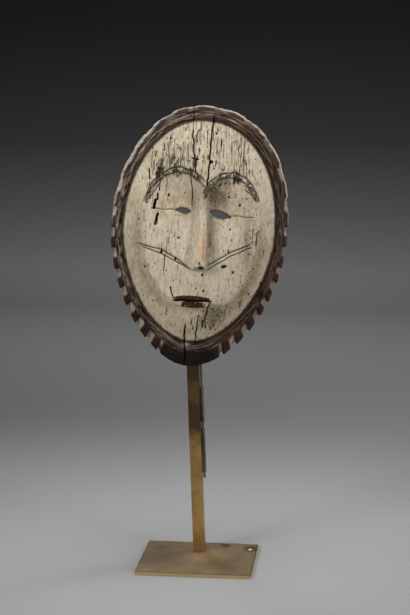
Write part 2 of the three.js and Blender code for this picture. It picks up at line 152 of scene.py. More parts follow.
# Heights in front of the wall and behind it between which the slits are cut, and the points along each lid
SLIT_HEIGHTS = (60.0, -10.0)
LID_POINTS = 15
# Painted shade along the upper and the lower lid, as (reach, strength)
LID_SHADE = ((2.2, 1.0), (1.3, 0.7))

# Lines along the brows: each as (offset from the brow's arc, width, depth), the ridge between them,
# how far and over what length they waver, and where along the arc they end
BROW_LINES = dict(
    lines=((1.8, 2.8, 2.2), (-3.0, 2.6, 2.0)), ridge=-0.6, ridge_reach=3.8, waver=1.7, cell=9,
    outer_end=((0.24, 0.34), (0.42, 0.54)), inner_end=((-0.74, -0.62), (-0.87, -0.78)),
)

# Carved lines as (path, width, depth)
CARVED_LINES = [
    ([(-84, -21), (-77, -24), (-61, -27.4), (-49, -29), (-41, -33.8), (-30, -39), (-20.5, -45), (-11, -51.3)],
     3.0, 2.2),
    ([(-80, -26), (-67, -29.6), (-54.6, -33.2), (-44, -37), (-36, -41), (-27, -45), (-17, -49.5), (-4, -55)],
     2.8, 2.1),
    ([(10, -50), (19, -43.6), (29.3, -36.8), (38.7, -31.4), (44, -27), (53.4, -23), (61.6, -19.1), (74, -14)],
     3.0, 2.2),
    ([(12, -54), (22, -47), (31, -41.5), (37.7, -37.6), (44.3, -32.4), (56.5, -26.9), (66, -21.6), (77, -18)],
     2.8, 2.1),
    ([(-69, 26), (-58, 26.1), (-49, 25.2), (-41, 26.6), (-31, 26)], 2.0, 2.0),
    ([(40, 22), (52.5, 23.2), (62, 21.8), (77, 22.6)], 1.5, 1.8),
    ([(-63.5, 62.8), (-69.5, 51.8), (-75.2, 43.8), (-75.2, 33.2), (-70.6, 32)], 2.6, 2.2),
    ([(-58.5, 60), (-63.6, 50), (-68.5, 42), (-69.5, 36)], 2.2, 1.8),
    ([(56.9, 65.2), (62.5, 63.3), (70, 62.4), (75.1, 57.4), (77.1, 51.4)], 2.4, 2.0),
    ([(58, 60.7), (66.2, 55.2), (72.9, 48.8), (77, 42.3)], 2.4, 2.0),
    ([(74.5, 23.8), (76.5, 14.8), (80.3, 5.9), (85.8, -2.9), (89.9, -13.5)], 1.6, 0.9),
]
MOUTH_SLIT = ([(-30, -98), (-17, -96.3), (-7.6, -97), (1.5, -96.5), (13.7, -95.7), (24, -96)], 3.6, 6.0)

# Splits in the wood as (path, width, depth)
CRACKS = [
    ([(12.5, 160), (9.9, 142), (9.2, 128.5), (8.1, 113), (7.9, 101), (7.6, 87), (6.9, 72), (5.6, 57)],
     2.5, 9.0),
    ([(-16.7, 170), (-16.6, 155), (-16.4, 148)], 2.0, 6.0),
    ([(-16.8, 138), (-17, 128), (-14.3, 119), (-14.4, 105.5), (-13.1, 96.5)], 2.2, 3.0),
    ([(-7.5, 138), (-10.3, 132), (-13.1, 125)], 1.8, 2.0),
    ([(-17.5, 97.7), (-13, 96.5), (-6.5, 96)], 2.6, 3.2),
    ([(-10.4, 97), (-12.6, 87.5), (-10.6, 78.6), (-5.5, 70)], 2.4, 2.6),
    ([(-18.5, 88), (-15.1, 69), (-12.3, 54), (-11.5, 42), (-11.8, 29)], 1.7, 3.4),
    ([(-62.7, 77), (-62.3, 68)], 2.6, 3.4),
    ([(-59.5, 82), (-58.2, 71), (-57.4, 62), (-57, 49)], 2.0, 3.2),
    ([(-72.8, 80), (-71.8, 64)], 2.2, 3.0),
    ([(-58.7, 47), (-59, 37)], 3.0, 4.2),
    ([(-61, 39.5), (-62.5, 32.6), (-64, 24.5)], 3.8, 7.0),
    ([(-57.8, 20.5), (-59.2, 11.7), (-61.2, 3)], 3.6, 7.0),
    ([(-69, 55), (-71, 49), (-74, 43)], 2.2, 2.6),
    ([(-49.5, 116), (-48.4, 103), (-47.8, 83)], 1.1, 1.4),
    ([(-54.8, 115), (-54.2, 104)], 2.0, 2.0),
    ([(-63.5, 104), (-66, 95)], 1.9, 2.2),
    ([(50.1, 110), (50.6, 98), (49.5, 89), (48.7, 77), (49, 64)], 1.8, 1.5),
    ([(54.9, 107), (55.9, 92.5), (55.4, 79)], 1.6, 1.1),
    ([(59.2, 100), (60.6, 87), (61.3, 75), (62.8, 66)], 1.6, 1.3),
    ([(40.5, 84), (43.4, 73.4), (44.4, 65)], 2.2, 2.4),
    ([(-45.2, -33), (-45, -45), (-45, -59)], 1.6, 2.6),
    ([(-33.8, -79), (-32.6, -86), (-29.5, -93), (-26, -98)], 1.8, 2.6),
    ([(-9.9, -128), (-9.7, -139), (-8.6, -152), (-6.6, -164), (-4.5, -189)], 2.6, 7.0),
    ([(7.4, -114), (6, -129), (7.3, -146), (7.7, -157)], 1.8, 4.0),
    ([(23, -95), (19.6, -105), (17.8, -115), (16.4, -123), (19.2, -136)], 2.0, 4.0),
    ([(14.4, -123), (14.8, -134)], 2.6, 2.8),
    ([(-0.8, -121), (-1.6, -131)], 2.2, 2.4),
]

# Insect holes that stand out, as (x, z, size)
HOLES = [
    (-46.1, 122.7, 1.6), (-44.4, 45.3, 1.7), (-22.6, 49.8, 0.9), (-60, 80.4, 1.2), (-56.1, 79.6, 1.2),
    (15.6, 133.1, 1.6), (10.9, 94, 2.2), (14.1, 84.9, 1.1), (53.6, 37.7, 1.7), (37.8, 48, 1.4),
    (42, 3.6, 1.3), (-27.7, -11.7, 1.6), (7.9, -60.1, 1.9), (-70.3, -53.6, 1.3), (-33.8, -80.6, 1.4),
    (-49.7, -32.1, 2.1), (-29.9, -40.6, 1.9), (-83.5, 9.9, 1.2), (-56.2, -100.7, 1.0), (50.2, -54.1, 1.7),
    (11.4, -81.9, 1.5), (29.9, -129.7, 1.5), (0.8, -79.1, 1.0), (91.7, -67.3, 1.6), (75.6, -83.9, 1.4),
    (31.3, 65.7, 1.1), (24, 63, 1.1), (18, 58.7, 1.1), (38.2, 66.2, 1.1),
]
# Fields of small holes, as (x, z, spread across, spread up, count), and the range of their sizes
HOLE_FIELDS = [
    (22, -118, 12, 14, 40), (72, -20, 9, 30, 22), (60, 10, 12, 20, 12), (30, 50, 26, 12, 18),
    (0, 0, 60, 90, 40), (68, -66, 9, 24, 18),
]
SMALL_HOLES = (0.45, 0.85)
# A hole's radius for its size, where it ends in radii, its depth, the curve of its wall, and what distances
# upwards count for, so that it is a little taller than wide
HOLE = dict(scale=0.8, end=1.25, depth=3.2, wall=0.6, upright=0.85)
GOUGE = dict(x=36.8, z=-47.0, half_width=4.6, half_height=2.3, depth=3.0, turn=16.0)

# Fields of short upright splits, as (x, z, spread across, spread up, count), and the range of their measures
STREAK_FIELDS = [
    (52, 96, 9, 26, 46), (30, 112, 16, 16, 30), (-16, 110, 9, 22, 34), (-45, 98, 14, 22, 26),
    (-63, 60, 8, 18, 16), (2, 118, 20, 14, 20), (-48, -30, 12, 18, 9), (40, 66, 14, 8, 18),
    (-72, 20, 6, 40, 8),
]
STREAK = dict(length=(5, 24), lean=0.04, width=(0.8, 1.7), depth=(0.5, 1.9))

# Fine relief of the face: tool marks, wood grain, and how far the clay stands over the bare wood
TOOL_MARKS = 0.35
GRAIN_RELIEF = 0.12
CLAY_THICKNESS = 0.4

# Shallow scoops of the adze in the hollow: their number, the area they lie in, their size, and how far in
# from the hollow's mouth they start and are full
SCOOPS = dict(
    count=330, half_width=105, half_height=155, across=8, along=15, depth=0.9, narrowing=0.004,
    start=14, full=30,
)

# Soft spots on the face, as (x, z, reach across, reach up, strength): where the clay has worn off, is stained
# or grimy or shows its grain, ochre wood along the nose, and brown on its tip and above the lips. The stained
# and grimy spots are partly painted shade, and the one of negative strength is painted light under the nose
WORN_PLACES = [
    (52, 86, 8, 22, 0.36), (44, 76, 8, 10, 0.2), (-13, 108, 5, 30, 0.5), (-6, 92, 6, 10, 0.3),
    (-62, 66, 9, 18, 0.32), (-30, 82, 24, 7, 0.22), (36, 74, 22, 7, 0.2), (-48, 102, 18, 22, 0.26),
    (24, 120, 20, 16, 0.14), (18, -124, 16, 14, 0.2), (-2, -140, 22, 10, 0.25), (76, -10, 7, 30, 0.16),
]
# Stains, partly painted shade in the eye hollows and beside the root of the nose; the last spot is painted
# light
STAINED_AND_SHADED_PLACES = [
    (20, 50, 13, 16, 0.95), (-15, 47, 10, 22, 0.85), (-42, 32, 30, 24, 0.65), (42, 32, 26, 24, 0.62),
    (-45, 95, 30, 32, 0.6), (67, -28, 9, 42, 0.6), (3, -68, 20, 10, -0.3),
]
# Grime, partly painted shade along the right flank of the nose, beside its root, in the hollows and low at
# right
GRIMY_AND_SHADED_PLACES = [
    (13, -8, 5, 42, 0.9), (20, 0, 9, 50, 0.5), (19, 50, 17, 15, 1.7), (42, 34, 24, 18, 0.35),
    (-14, 40, 9, 24, 0.3), (26, -118, 22, 19, 1.1), (-2, -142, 26, 10, 0.35), (68, -4, 7, 38, 0.75),
    (62, -80, 16, 26, 0.3),
]
GRAINY_PLACES = [(-62, 20, 16, 50, 0.35), (-48, -45, 16, 22, 0.35)]
OCHRE_PLACES = [(5.6, -20, 2.0, 26, 1.0), (-1.2, -14, 1.2, 34, 0.9), (2.5, -32, 4.0, 14, 0.5)]
NOSE_TIP_PLACES = [(1.5, -44, 3.6, 6.5, 0.62), (5.5, -50.5, 5.0, 2.8, 0.85)]
SMEARED_PLACES = [(-8, -86, 26, 4, 0.5)]

# How far beyond the exact surfaces a vertex still counts as the hollow's, or as the face's
HOLLOW_SLACK = dict(share=1.02, height=1.4)
FACE_SLACK = dict(outward=0.4, lowest=-1.5)

# Fineness of the mask's surface
FACE_CELLS = 380
RIM_ROWS = dict(groove=5, band=18, bevel=24, side=18)
MASK_TRIANGLES = 190000
ARC_STEPS = 2000
# Share of the way out from which a point of the grid counts as on the face's edge
EDGE_REACH = 0.9999
NOISE_CELLS = 256
# Keeps the noise's lattice lines off the middle of the mask
NOISE_SHIFT = (1000.37, 1000.71)


# Small numeric helpers
def clamp(value, low=0.0, high=1.0):
    return np.minimum(np.maximum(value, low), high)


def smoothstep(value, low, high):
    share = clamp((value - low) / (high - low))
    return share * share * (3 - 2 * share)


def lerp(a, b, share):
    return a + (b - a) * share


def blob(x, z, middle_x, middle_z, reach_x, reach_z):
    """A soft spot, 1 in its middle."""
    return np.exp(-((x - middle_x) / reach_x) ** 2 - ((z - middle_z) / reach_z) ** 2)


def bell(value, middle, reach):
    """A soft peak, 1 in its middle."""
    return np.exp(-((value - middle) / reach) ** 2)


def spots(x, z, places):
    """Soft spots added up, each as (x, z, reach across, reach up, strength)."""
    return sum(strength * blob(x, z, *place) for *place, strength in places)


def noise(x, z, cell_x, cell_z, seed):
    """Smooth noise between -1 and 1 over a plane, with features about one cell wide."""
    lattice = np.random.default_rng(seed).uniform(-1, 1, (NOISE_CELLS, NOISE_CELLS))
    gx = np.asarray(x) / cell_x + NOISE_SHIFT[0]
    gz = np.asarray(z) / cell_z + NOISE_SHIFT[1]
    ix = np.floor(gx).astype(int)
    iz = np.floor(gz).astype(int)
    fx = gx - ix
    fz = gz - iz
    fx = fx * fx * (3 - 2 * fx)
    fz = fz * fz * (3 - 2 * fz)
    left, right, low, high = (index % NOISE_CELLS for index in (ix, ix + 1, iz, iz + 1))
    near_row = lerp(lattice[left, low], lattice[right, low], fx)
    far_row = lerp(lattice[left, high], lattice[right, high], fx)
    return lerp(near_row, far_row, fz)


def layered(x, z, cell_x, cell_z, seed, layers=3):
    """Noise with finer and weaker layers added."""
    total = 0.0
    weight = 0.0
    for layer in range(layers):
        share = 0.5 ** layer
        total = total + share * noise(x, z, cell_x * share, cell_z * share, seed + 17 * layer)
        weight += share
    return total / weight


# Forms of the mask, in its own frame: x across, z up, height forward of the band
def oval_radius(oval, angle):
    width = np.where(np.cos(angle) >= 0, oval["right"], oval["left"])
    height = np.where(np.sin(angle) >= 0, oval["up"], oval["down"])
    quarter = np.floor(angle / (0.5 * math.pi)).astype(int) % 4
    fullness = np.array(oval["fullness"])[quarter]
    across = np.abs(np.cos(angle) / width) ** fullness
    along = np.abs(np.sin(angle) / height) ** fullness
    return (across + along) ** (-1 / fullness)


def inside_brow(brow, x, z):
    across = (x - brow["x"]) / brow["half_width"]
    above = np.maximum(z - brow["z"], 0) / brow["half_height"]
    return (1 - np.hypot(across, above)) * brow["half_width"]


def eye_hollow(x, z):
    inside = np.maximum(*(inside_brow(brow, x, z) for brow in BROWS))
    outward = smoothstep(np.abs(x), EYE_HOLLOW["changes_from"], EYE_HOLLOW["changes_to"])
    depth = lerp(EYE_HOLLOW["beside_nose"], EYE_HOLLOW["outer"], outward)
    floor = lerp(CHEEK_LINE["middle_z"], CHEEK_LINE["outer_z"], clamp(np.abs(x) / CHEEK_LINE["outer_x"]))
    return depth * smoothstep(inside, 0, BROW_SLOPE) * smoothstep(z, floor, floor + EYE_HOLLOW["fade"])


def nose_rise(x, z):
    down = clamp((NOSE["root_z"] - z) / (NOSE["root_z"] - NOSE["tip_z"]))
    from_ridge = np.minimum(np.abs(x - NOSE["x"]) / lerp(NOSE["root_half"], NOSE["tip_half"], down), 1)
    root_end = 1 - smoothstep(z - NOSE["root_z"], *NOSE_ENDS["root"])
    tip_end = smoothstep(z - NOSE["tip_z"], *NOSE_ENDS["tip"])
    rise = lerp(NOSE["root_rise"], NOSE["tip_rise"], down)
    return rise * (1 - smoothstep(from_ridge, NOSE["bridge"], 1)) * root_end * tip_end


def lip_rise(lip, x, z):
    across = (x - MOUTH_X) / MOUTH_HALF
    above = (z - lip["z"]) / lip["half_height"]
    return lip["rise"] * np.sqrt(clamp(1 - across ** 2 - above ** 2))


def dome_height(x, z):
    reach = np.minimum(np.hypot(x, z) / oval_radius(FACE_OVAL, np.arctan2(z, x)), 1)
    raised = smoothstep(z, DOME_ROUNDNESS["changes_to"], DOME_ROUNDNESS["changes_from"])
    roundness = lerp(DOME_ROUNDNESS["chin"], DOME_ROUNDNESS["forehead"], raised)
    front = lerp(1, SHOULDER["height"], (reach / SHOULDER["reach"]) ** SHOULDER["roundness"])
    slope = SHOULDER["height"] * (1 - reach) / (1 - SHOULDER["reach"])
    shouldered = SHOULDER["share"] * (1 - smoothstep(z, SHOULDER["fades_from"], SHOULDER["fades_to"]))
    return FACE_EDGE_STEP + DOME_HEIGHT * lerp(1 - reach ** roundness, np.minimum(front, slope), shouldered)


def inside_outline(x, z, outline):
    inside = np.zeros(np.shape(x), bool)
    for (ax, az), (bx, bz) in zip(outline, outline[1:] + outline[:1]):
        crosses = (az > z) != (bz > z)
        inside ^= crosses & (x < ax + (bx - ax) * (z - az) / (bz - az))
    return inside


def front_plane_distance(x, z):
    """How far inside the edge of the front plane a point lies, below zero outside it."""
    distance, _ = path_distance(x, z, FRONT_PLANE)
    signed = np.where(inside_outline(x, z, FRONT_PLANE), distance, -distance)
    cell = FRONT_PLANE_STEP["cell"]
    return signed + FRONT_PLANE_STEP["waver"] * layered(x, z, cell, cell, seed=261)


def front_plane_fade(z):
    return 1 - smoothstep(z, FRONT_PLANE_STEP["fades_from"], FRONT_PLANE_STEP["fades_to"])


def on_front_plane(x, z):
    """From -1 outside the front plane of the face to 1 on it, fading away above the cheeks."""
    reach = FRONT_PLANE_STEP["reach"]
    return front_plane_fade(z) * (2 * smoothstep(front_plane_distance(x, z), -reach, reach) - 1)


def smooth_face(x, z):
    lips = np.maximum(*(lip_rise(lip, x, z) for lip in LIPS))
    return dome_height(x, z) - eye_hollow(x, z) + nose_rise(x, z) + lips


# Marks cut into the wood: each gives how deep it goes at every point
def path_distance(x, z, path):
    """Distance to a path, and how far along it the nearest point is, from 0 to 1."""
    points = np.array(path, float)
    lengths = np.linalg.norm(np.diff(points, axis=0), axis=1)
    starts = np.concatenate([[0], np.cumsum(lengths)])
    nearest = np.full(np.shape(x), np.inf)
    along = np.zeros(np.shape(x))
    for a, b, start, length in zip(points[:-1], points[1:], starts, lengths):
        share = clamp(((x - a[0]) * (b[0] - a[0]) + (z - a[1]) * (b[1] - a[1])) / length ** 2)
        distance = np.hypot(x - lerp(a[0], b[0], share), z - lerp(a[1], b[1], share))
        closer = distance < nearest
        nearest = np.where(closer, distance, nearest)
        along = np.where(closer, (start + share * length) / starts[-1], along)
    return nearest, along


def near(x, z, points, margin):
    """Which points lie in the box around some others."""
    low = np.min(points, axis=0) - margin
    high = np.max(points, axis=0) + margin
    return (x > low[0]) & (x < high[0]) & (z > low[1]) & (z < high[1])


def cut_path(x, z, path, width, depth, ragged=0.0, seed=0):
    """Depth of a V-shaped groove that runs out at its ends, with a ragged course if asked."""
    cut = np.zeros(np.shape(x))
    chosen = near(x, z, path, width + 3)
    px = x[chosen]
    pz = z[chosen]
    drift = ragged * layered(px, pz, 9, 9, seed) if ragged else 0.0
    distance, along = path_distance(px + drift, pz, path)
    ends = clamp(np.sin(np.pi * clamp(along, 0.01, 0.99)) * 4)
    half = 0.5 * width * (0.35 + 0.65 * ends)
    cut[chosen] = depth * ends * clamp(1 - distance / half) ** 0.8
    return cut


def brow_arcs(x, z):
    """For each brow, the distance outwards from its wavering arc, and how much of the arc is there."""
    cell = BROW_LINES["cell"]
    ends = zip(BROW_LINES["outer_end"], BROW_LINES["inner_end"])
    for index, (brow, (outer_end, inner_end)) in enumerate(zip(BROWS, ends)):
        across = (x - brow["x"]) / brow["half_width"]
        above = (z - brow["z"]) / brow["half_height"]
        distance = (np.hypot(across, above) - 1) * brow["half_width"]
        distance = distance + BROW_LINES["waver"] * layered(x, z, cell, cell, seed=71 + index)
        outward = across * np.sign(brow["x"])
        yield distance, smoothstep(above, *outer_end) * smoothstep(outward, *inner_end)


def brow_grooves(x, z):
    """The two incised lines along each brow, which fade where the wood has worn away."""
    cut = np.zeros(np.shape(x))
    for index, (distance, arc) in enumerate(brow_arcs(x, z)):
        worn = 0.5 + 0.5 * smoothstep(layered(x, z, 7, 7, seed=81 + index), -0.5, 0.2)
        for offset, width, depth in BROW_LINES["lines"]:
            cut = np.maximum(cut, depth * arc * worn * clamp(1 - np.abs(distance - offset) / (0.5 * width)))
    return cut


def brow_ridge(x, z):
    """How much of each point lies on a brow, from 0 to 1."""
    ridge = np.zeros(np.shape(x))
    for distance, arc in brow_arcs(x, z):
        ridge = np.maximum(ridge, arc * bell(distance, BROW_LINES["ridge"], BROW_LINES["ridge_reach"]))
    return ridge


def hole_cuts(x, z):
    """Insect holes: the ones that stand out, and many small ones, most of them low and at the right."""
    random = np.random.default_rng(5)
    holes = list(HOLES)
    for middle_x, middle_z, spread_x, spread_z, count in HOLE_FIELDS:
        places = random.normal((middle_x, middle_z), (spread_x, spread_z), (count, 2))
        sizes = random.uniform(*SMALL_HOLES, count)
        holes += [(hole_x, hole_z, size) for (hole_x, hole_z), size in zip(places, sizes)]
    cut = np.zeros(np.shape(x))
    for hole_x, hole_z, size in holes:
        radius = HOLE["scale"] * size
        chosen = near(x, z, [(hole_x, hole_z)], radius + 1)
        distance = np.hypot(x[chosen] - hole_x, (z[chosen] - hole_z) * HOLE["upright"])
        depth = HOLE["depth"] * clamp(HOLE["end"] - distance / radius) ** HOLE["wall"]
        cut[chosen] = np.maximum(cut[chosen], depth * (distance < HOLE["end"] * radius))
    turn = math.radians(GOUGE["turn"])
    across = (x - GOUGE["x"]) * math.cos(turn) + (z - GOUGE["z"]) * math.sin(turn)
    above = -(x - GOUGE["x"]) * math.sin(turn) + (z - GOUGE["z"]) * math.cos(turn)
    reach = np.hypot(across / GOUGE["half_width"], above / GOUGE["half_height"])
    reach = reach + 0.15 * noise(x, z, 3, 3, seed=9)
    return np.maximum(cut, GOUGE["depth"] * clamp(1.1 - reach) ** 0.7)


def streak_cuts(x, z):
    """Short upright splits where the clay has gone and the grain shows, most of them on the forehead."""
    random = np.random.default_rng(11)
    cut = np.zeros(np.shape(x))
    for middle_x, middle_z, spread_x, spread_z, count in STREAK_FIELDS:
        for _ in range(count):
            foot_x, foot_z = random.normal((middle_x, middle_z), (spread_x, spread_z))
            length = random.uniform(*STREAK["length"])
            lean = random.normal(0, STREAK["lean"]) * length
            width = random.uniform(*STREAK["width"])
            depth = random.uniform(*STREAK["depth"])
            path = [(foot_x, foot_z), (foot_x + lean, foot_z + length)]
            cut = np.maximum(cut, cut_path(x, z, path, width, depth))
    return cut


def crack_cuts(x, z):
    """The splits of the wood, a few of which run from the face over the band."""
    cut = np.zeros(np.shape(x))
    for index, (path, width, depth) in enumerate(CRACKS):
        cut = np.maximum(cut, cut_path(x, z, path, width, depth, ragged=1.2, seed=100 + index))
    return cut


def line_cuts(x, z):
    """The carved lines of brows, cheeks and eyes, worn shallow here and there."""
    cut = brow_grooves(x, z)
    for index, (path, width, depth) in enumerate(CARVED_LINES):
        worn = 0.7 + 0.3 * smoothstep(layered(x, z, 8, 8, seed=140 + index), -0.4, 0.1)
        cut = np.maximum(cut, cut_path(x, z, path, width, depth, ragged=0.7, seed=40 + index) * worn)
    return cut


def marks(x, z):
    """Depth of every kind of mark at each point."""
    return dict(
        crack=crack_cuts(x, z),
        line=line_cuts(x, z),
        hole=hole_cuts(x, z),
        streak=streak_cuts(x, z),
        mouth=cut_path(x, z, *MOUTH_SLIT, ragged=0.8, seed=3),
    )


def clay_left(x, z):
    """How much of the white clay is left on the face, from 0 to 1, torn along the grain."""
    torn = layered(x, z, 3.0, 15, seed=21, layers=4)
    patchy = layered(x, z, 22, 34, seed=31)
    return 1 - smoothstep(0.62 * torn + 0.3 * patchy + spots(x, z, WORN_PLACES), 0.24, 0.6)


def carved_face(x, z):
    """Height of the finished face, with its tool marks, grain and every cut."""
    height = smooth_face(x, z) + 0.5 * FRONT_PLANE_STEP["height"] * on_front_plane(x, z)
    height = height + TOOL_MARKS * layered(x, z, 17, 24, seed=51)
    height = height + GRAIN_RELIEF * layered(x, z, 1.3, 14, seed=61)
    height = height - CLAY_THICKNESS * (1 - clay_left(x, z))
    return height - sum(marks(x, z).values())


# Teeth of the rim
def side_arcs(side):
    """Turns from the chin up one side of the rim, and the arc length at each."""
    turns = np.linspace(0, math.pi, ARC_STEPS + 1)
    angles = -math.pi / 2 + side * turns
    radius = oval_radius(RIM_OVAL, angles)
    points = np.stack([radius * np.cos(angles), radius * np.sin(angles)], axis=1)
    steps = np.linalg.norm(np.diff(points, axis=0), axis=1)
    return turns, np.concatenate([[0], np.cumsum(steps)])


def tooth_places(angle):
    """For each angle: the share of the way up its tooth, the notch there from 0 to 1, and its full depth."""
    turn = (angle + math.pi / 2) % (2 * math.pi)
    share = np.zeros(np.shape(angle))
    notch = np.zeros(np.shape(angle))
    full_depth = np.zeros(np.shape(angle))
    for side, name, on_side, up in (
        (1, "right", turn <= math.pi, turn),
        (-1, "left", turn > math.pi, 2 * math.pi - turn),
    ):
        arc = np.interp(up, *side_arcs(side))
        tips = TOOTH_TIPS[name]
        for tip, following in zip(tips[:-1], tips[1:]):
            inside = on_side & (arc >= tip) & (arc < following)
            along = (arc - tip) / (following - tip)
            changed = smoothstep(tip, NOTCH_DEPTH["changes_from"], NOTCH_DEPTH["changes_to"])
            share = np.where(inside, along, share)
            notch = np.where(inside, np.interp(along, *zip(*NOTCH_PROFILE)), notch)
            full_depth = np.where(inside, lerp(NOTCH_DEPTH["low"], NOTCH_DEPTH["high"], changed), full_depth)
    return share, notch, full_depth


# The mask's outer skin: a square grid drawn into the face oval, and rings around it out to the back
def square_grid(cells):
    steps = np.linspace(-1, 1, cells + 1)
    across, up = np.meshgrid(steps, steps)
    disc_x = across * np.sqrt(1 - up ** 2 / 2)
    disc_z = up * np.sqrt(1 - across ** 2 / 2)
    angle = np.arctan2(disc_z, disc_x)
    radius = np.hypot(disc_x, disc_z) * oval_radius(FACE_OVAL, angle)
    return radius * np.cos(angle), radius * np.sin(angle)


def border_indices(cells):
    """Grid indices around the square's edge, turning as the angle grows."""
    row = cells + 1
    bottom = list(range(cells))
    right = [step * row + cells for step in range(cells)]
    top = [cells * row + column for column in range(cells, 0, -1)]
    left = [step * row for step in range(cells, 0, -1)]
    return np.array(bottom + right + top + left)


def band_height(share, angle, radius):
    """Height across the band: two grooves with a worn ridge between them."""
    shares = [0.0] + [point[0] for point in BAND_PROFILE]
    heights = [BORDER_GROOVE["height"]] + [point[1] for point in BAND_PROFILE]
    rough = BAND_ROUGHNESS * layered(angle * BAND_TURN, radius, 7, 2.4, seed=211)
    return np.interp(share, shares, heights) + rough * smoothstep(share, 0, 0.2)


def rim_fibres(angle, down):
    """Torn fibres around the rim, by the turn and the millimetres down its bevel and side."""
    return layered(angle * TEETH_TURN, down + 0 * angle, 2.2, 9, seed=231)


def rim_rings(border_x, border_z):
    """Points of the rings from the face's edge to the back edge, as arrays of x, z and height."""
    edge_angle = np.arctan2(border_z, border_x)
    rim_angle = edge_angle - TOOTH_SLANT * np.cos(edge_angle)
    share_up, notch, full_depth = tooth_places(rim_angle)
    swell = np.sin(np.pi * clamp(share_up / 0.6)) * (full_depth > 0)
    face = oval_radius(FACE_OVAL, edge_angle)
    groove = face + BORDER_GROOVE["offset"]
    band = oval_radius(BAND_OVAL, edge_angle)
    rim = oval_radius(RIM_OVAL, rim_angle) - OUTLINE_INSET
    rings = []

    def add(angle, radius, height):
        rings.append((radius * np.cos(angle), radius * np.sin(angle), height))

    def shares(part):
        return [row / RIM_ROWS[part] for row in range(1, RIM_ROWS[part] + 1)]

    for share in shares("groove"):
        height = lerp(FACE_EDGE_STEP, BORDER_GROOVE["height"], share)
        add(edge_angle, lerp(face, groove, share), np.full(len(face), height))
    for share in shares("band"):
        radius = lerp(groove, band, share)
        add(edge_angle, radius, band_height(share, edge_angle, radius))
    for share in shares("bevel"):
        angle = lerp(edge_angle, rim_angle, share)
        fibres = rim_fibres(angle, share * BEVEL_FIBRES)
        radius = lerp(band, rim - notch * full_depth, share) - FIBRE_INSET * share * (1 + fibres)
        relief = TOOTH_SWELL * swell - TOOTH_GROOVE * notch + FIBRE_RELIEF * fibres
        raised = math.sin(math.pi * share) ** 0.7 * (full_depth / NOTCH_DEPTH["low"]) ** 2
        height = TOOTH_TIP_HEIGHT * share ** BEVEL_CURVE + relief * raised
        add(angle, radius, height - 0.3 * (1 - share))
    for share in shares("side"):
        fibres = rim_fibres(rim_angle, share * SIDE_FIBRES + BEVEL_FIBRES)
        left = np.interp(share, *zip(*NOTCH_FADES))
        radius = rim * lerp(1, BACK_EDGE_TAPER, share) - notch * full_depth * left
        radius = radius - FIBRE_INSET * (1 + fibres) * (1 - share)
        add(rim_angle, radius, np.full(len(rim), lerp(TOOTH_TIP_HEIGHT, BACK_HEIGHT, share)))
    return rings


def add_object(name, data):
    made = bpy.data.objects.new(name, data)
    bpy.context.scene.collection.objects.link(made)
    return made


def mesh_object(name, vertices, faces):
    """An object from lists of vertices in metres and of faces."""
    mesh = bpy.data.meshes.new(name)
    mesh.from_pydata(vertices, [], faces)
    mesh.validate()
    return add_object(name, mesh)


def in_mask_frame(x, z, height):
    return np.stack([x, -height, z], axis=1) * MM


def strip_faces(first, second):
    """Quads between two closed loops of vertex indices, the second one further out or further back."""
    return np.stack([first, second, np.roll(second, -1), np.roll(first, -1)], axis=1)


def outer_skin():
    """The mask without its hollow and its slits, closed flat at the back."""
    grid_x, grid_z = square_grid(FACE_CELLS)
    flat_x = grid_x.ravel()
    flat_z = grid_z.ravel()
    reach = np.hypot(flat_x, flat_z) / oval_radius(FACE_OVAL, np.arctan2(flat_z, flat_x))
    height = carved_face(flat_x, flat_z)
    height = np.where(reach > EDGE_REACH, FACE_EDGE_STEP, height)
    row = FACE_CELLS + 1
    corner = (np.arange(FACE_CELLS)[:, None] * row + np.arange(FACE_CELLS)[None, :]).ravel()
    faces = [np.stack([corner, corner + 1, corner + row + 1, corner + row], axis=1)]
    xs = [flat_x]
    zs = [flat_z]
    heights = [height]
    border = border_indices(FACE_CELLS)
    previous = border
    count = len(flat_x)
    for ring_x, ring_z, ring_height in rim_rings(flat_x[border], flat_z[border]):
        xs.append(ring_x)
        zs.append(ring_z)
        heights.append(ring_height - crack_cuts(ring_x, ring_z))
        current = np.arange(count, count + len(border))
        faces.append(strip_faces(previous, current))
        previous = current
        count += len(border)
    vertices = in_mask_frame(np.concatenate(xs), np.concatenate(zs), np.concatenate(heights))
    back_middle = in_mask_frame(np.zeros(1), np.zeros(1), np.array([BACK_HEIGHT]))
    vertices = np.concatenate([vertices, back_middle])
    fan = [(a, count, b) for a, b in zip(previous, np.roll(previous, -1))]
    return mesh_object("mask_skin", vertices.tolist(), np.concatenate(faces).tolist() + fan)


def cavity_height(reach):
    """Height of the hollow's wall, by the share of the way from its middle to the face oval."""
    return lerp(CAVITY["mouth"], CAVITY["deepest"], np.sqrt(1 - reach ** 3))


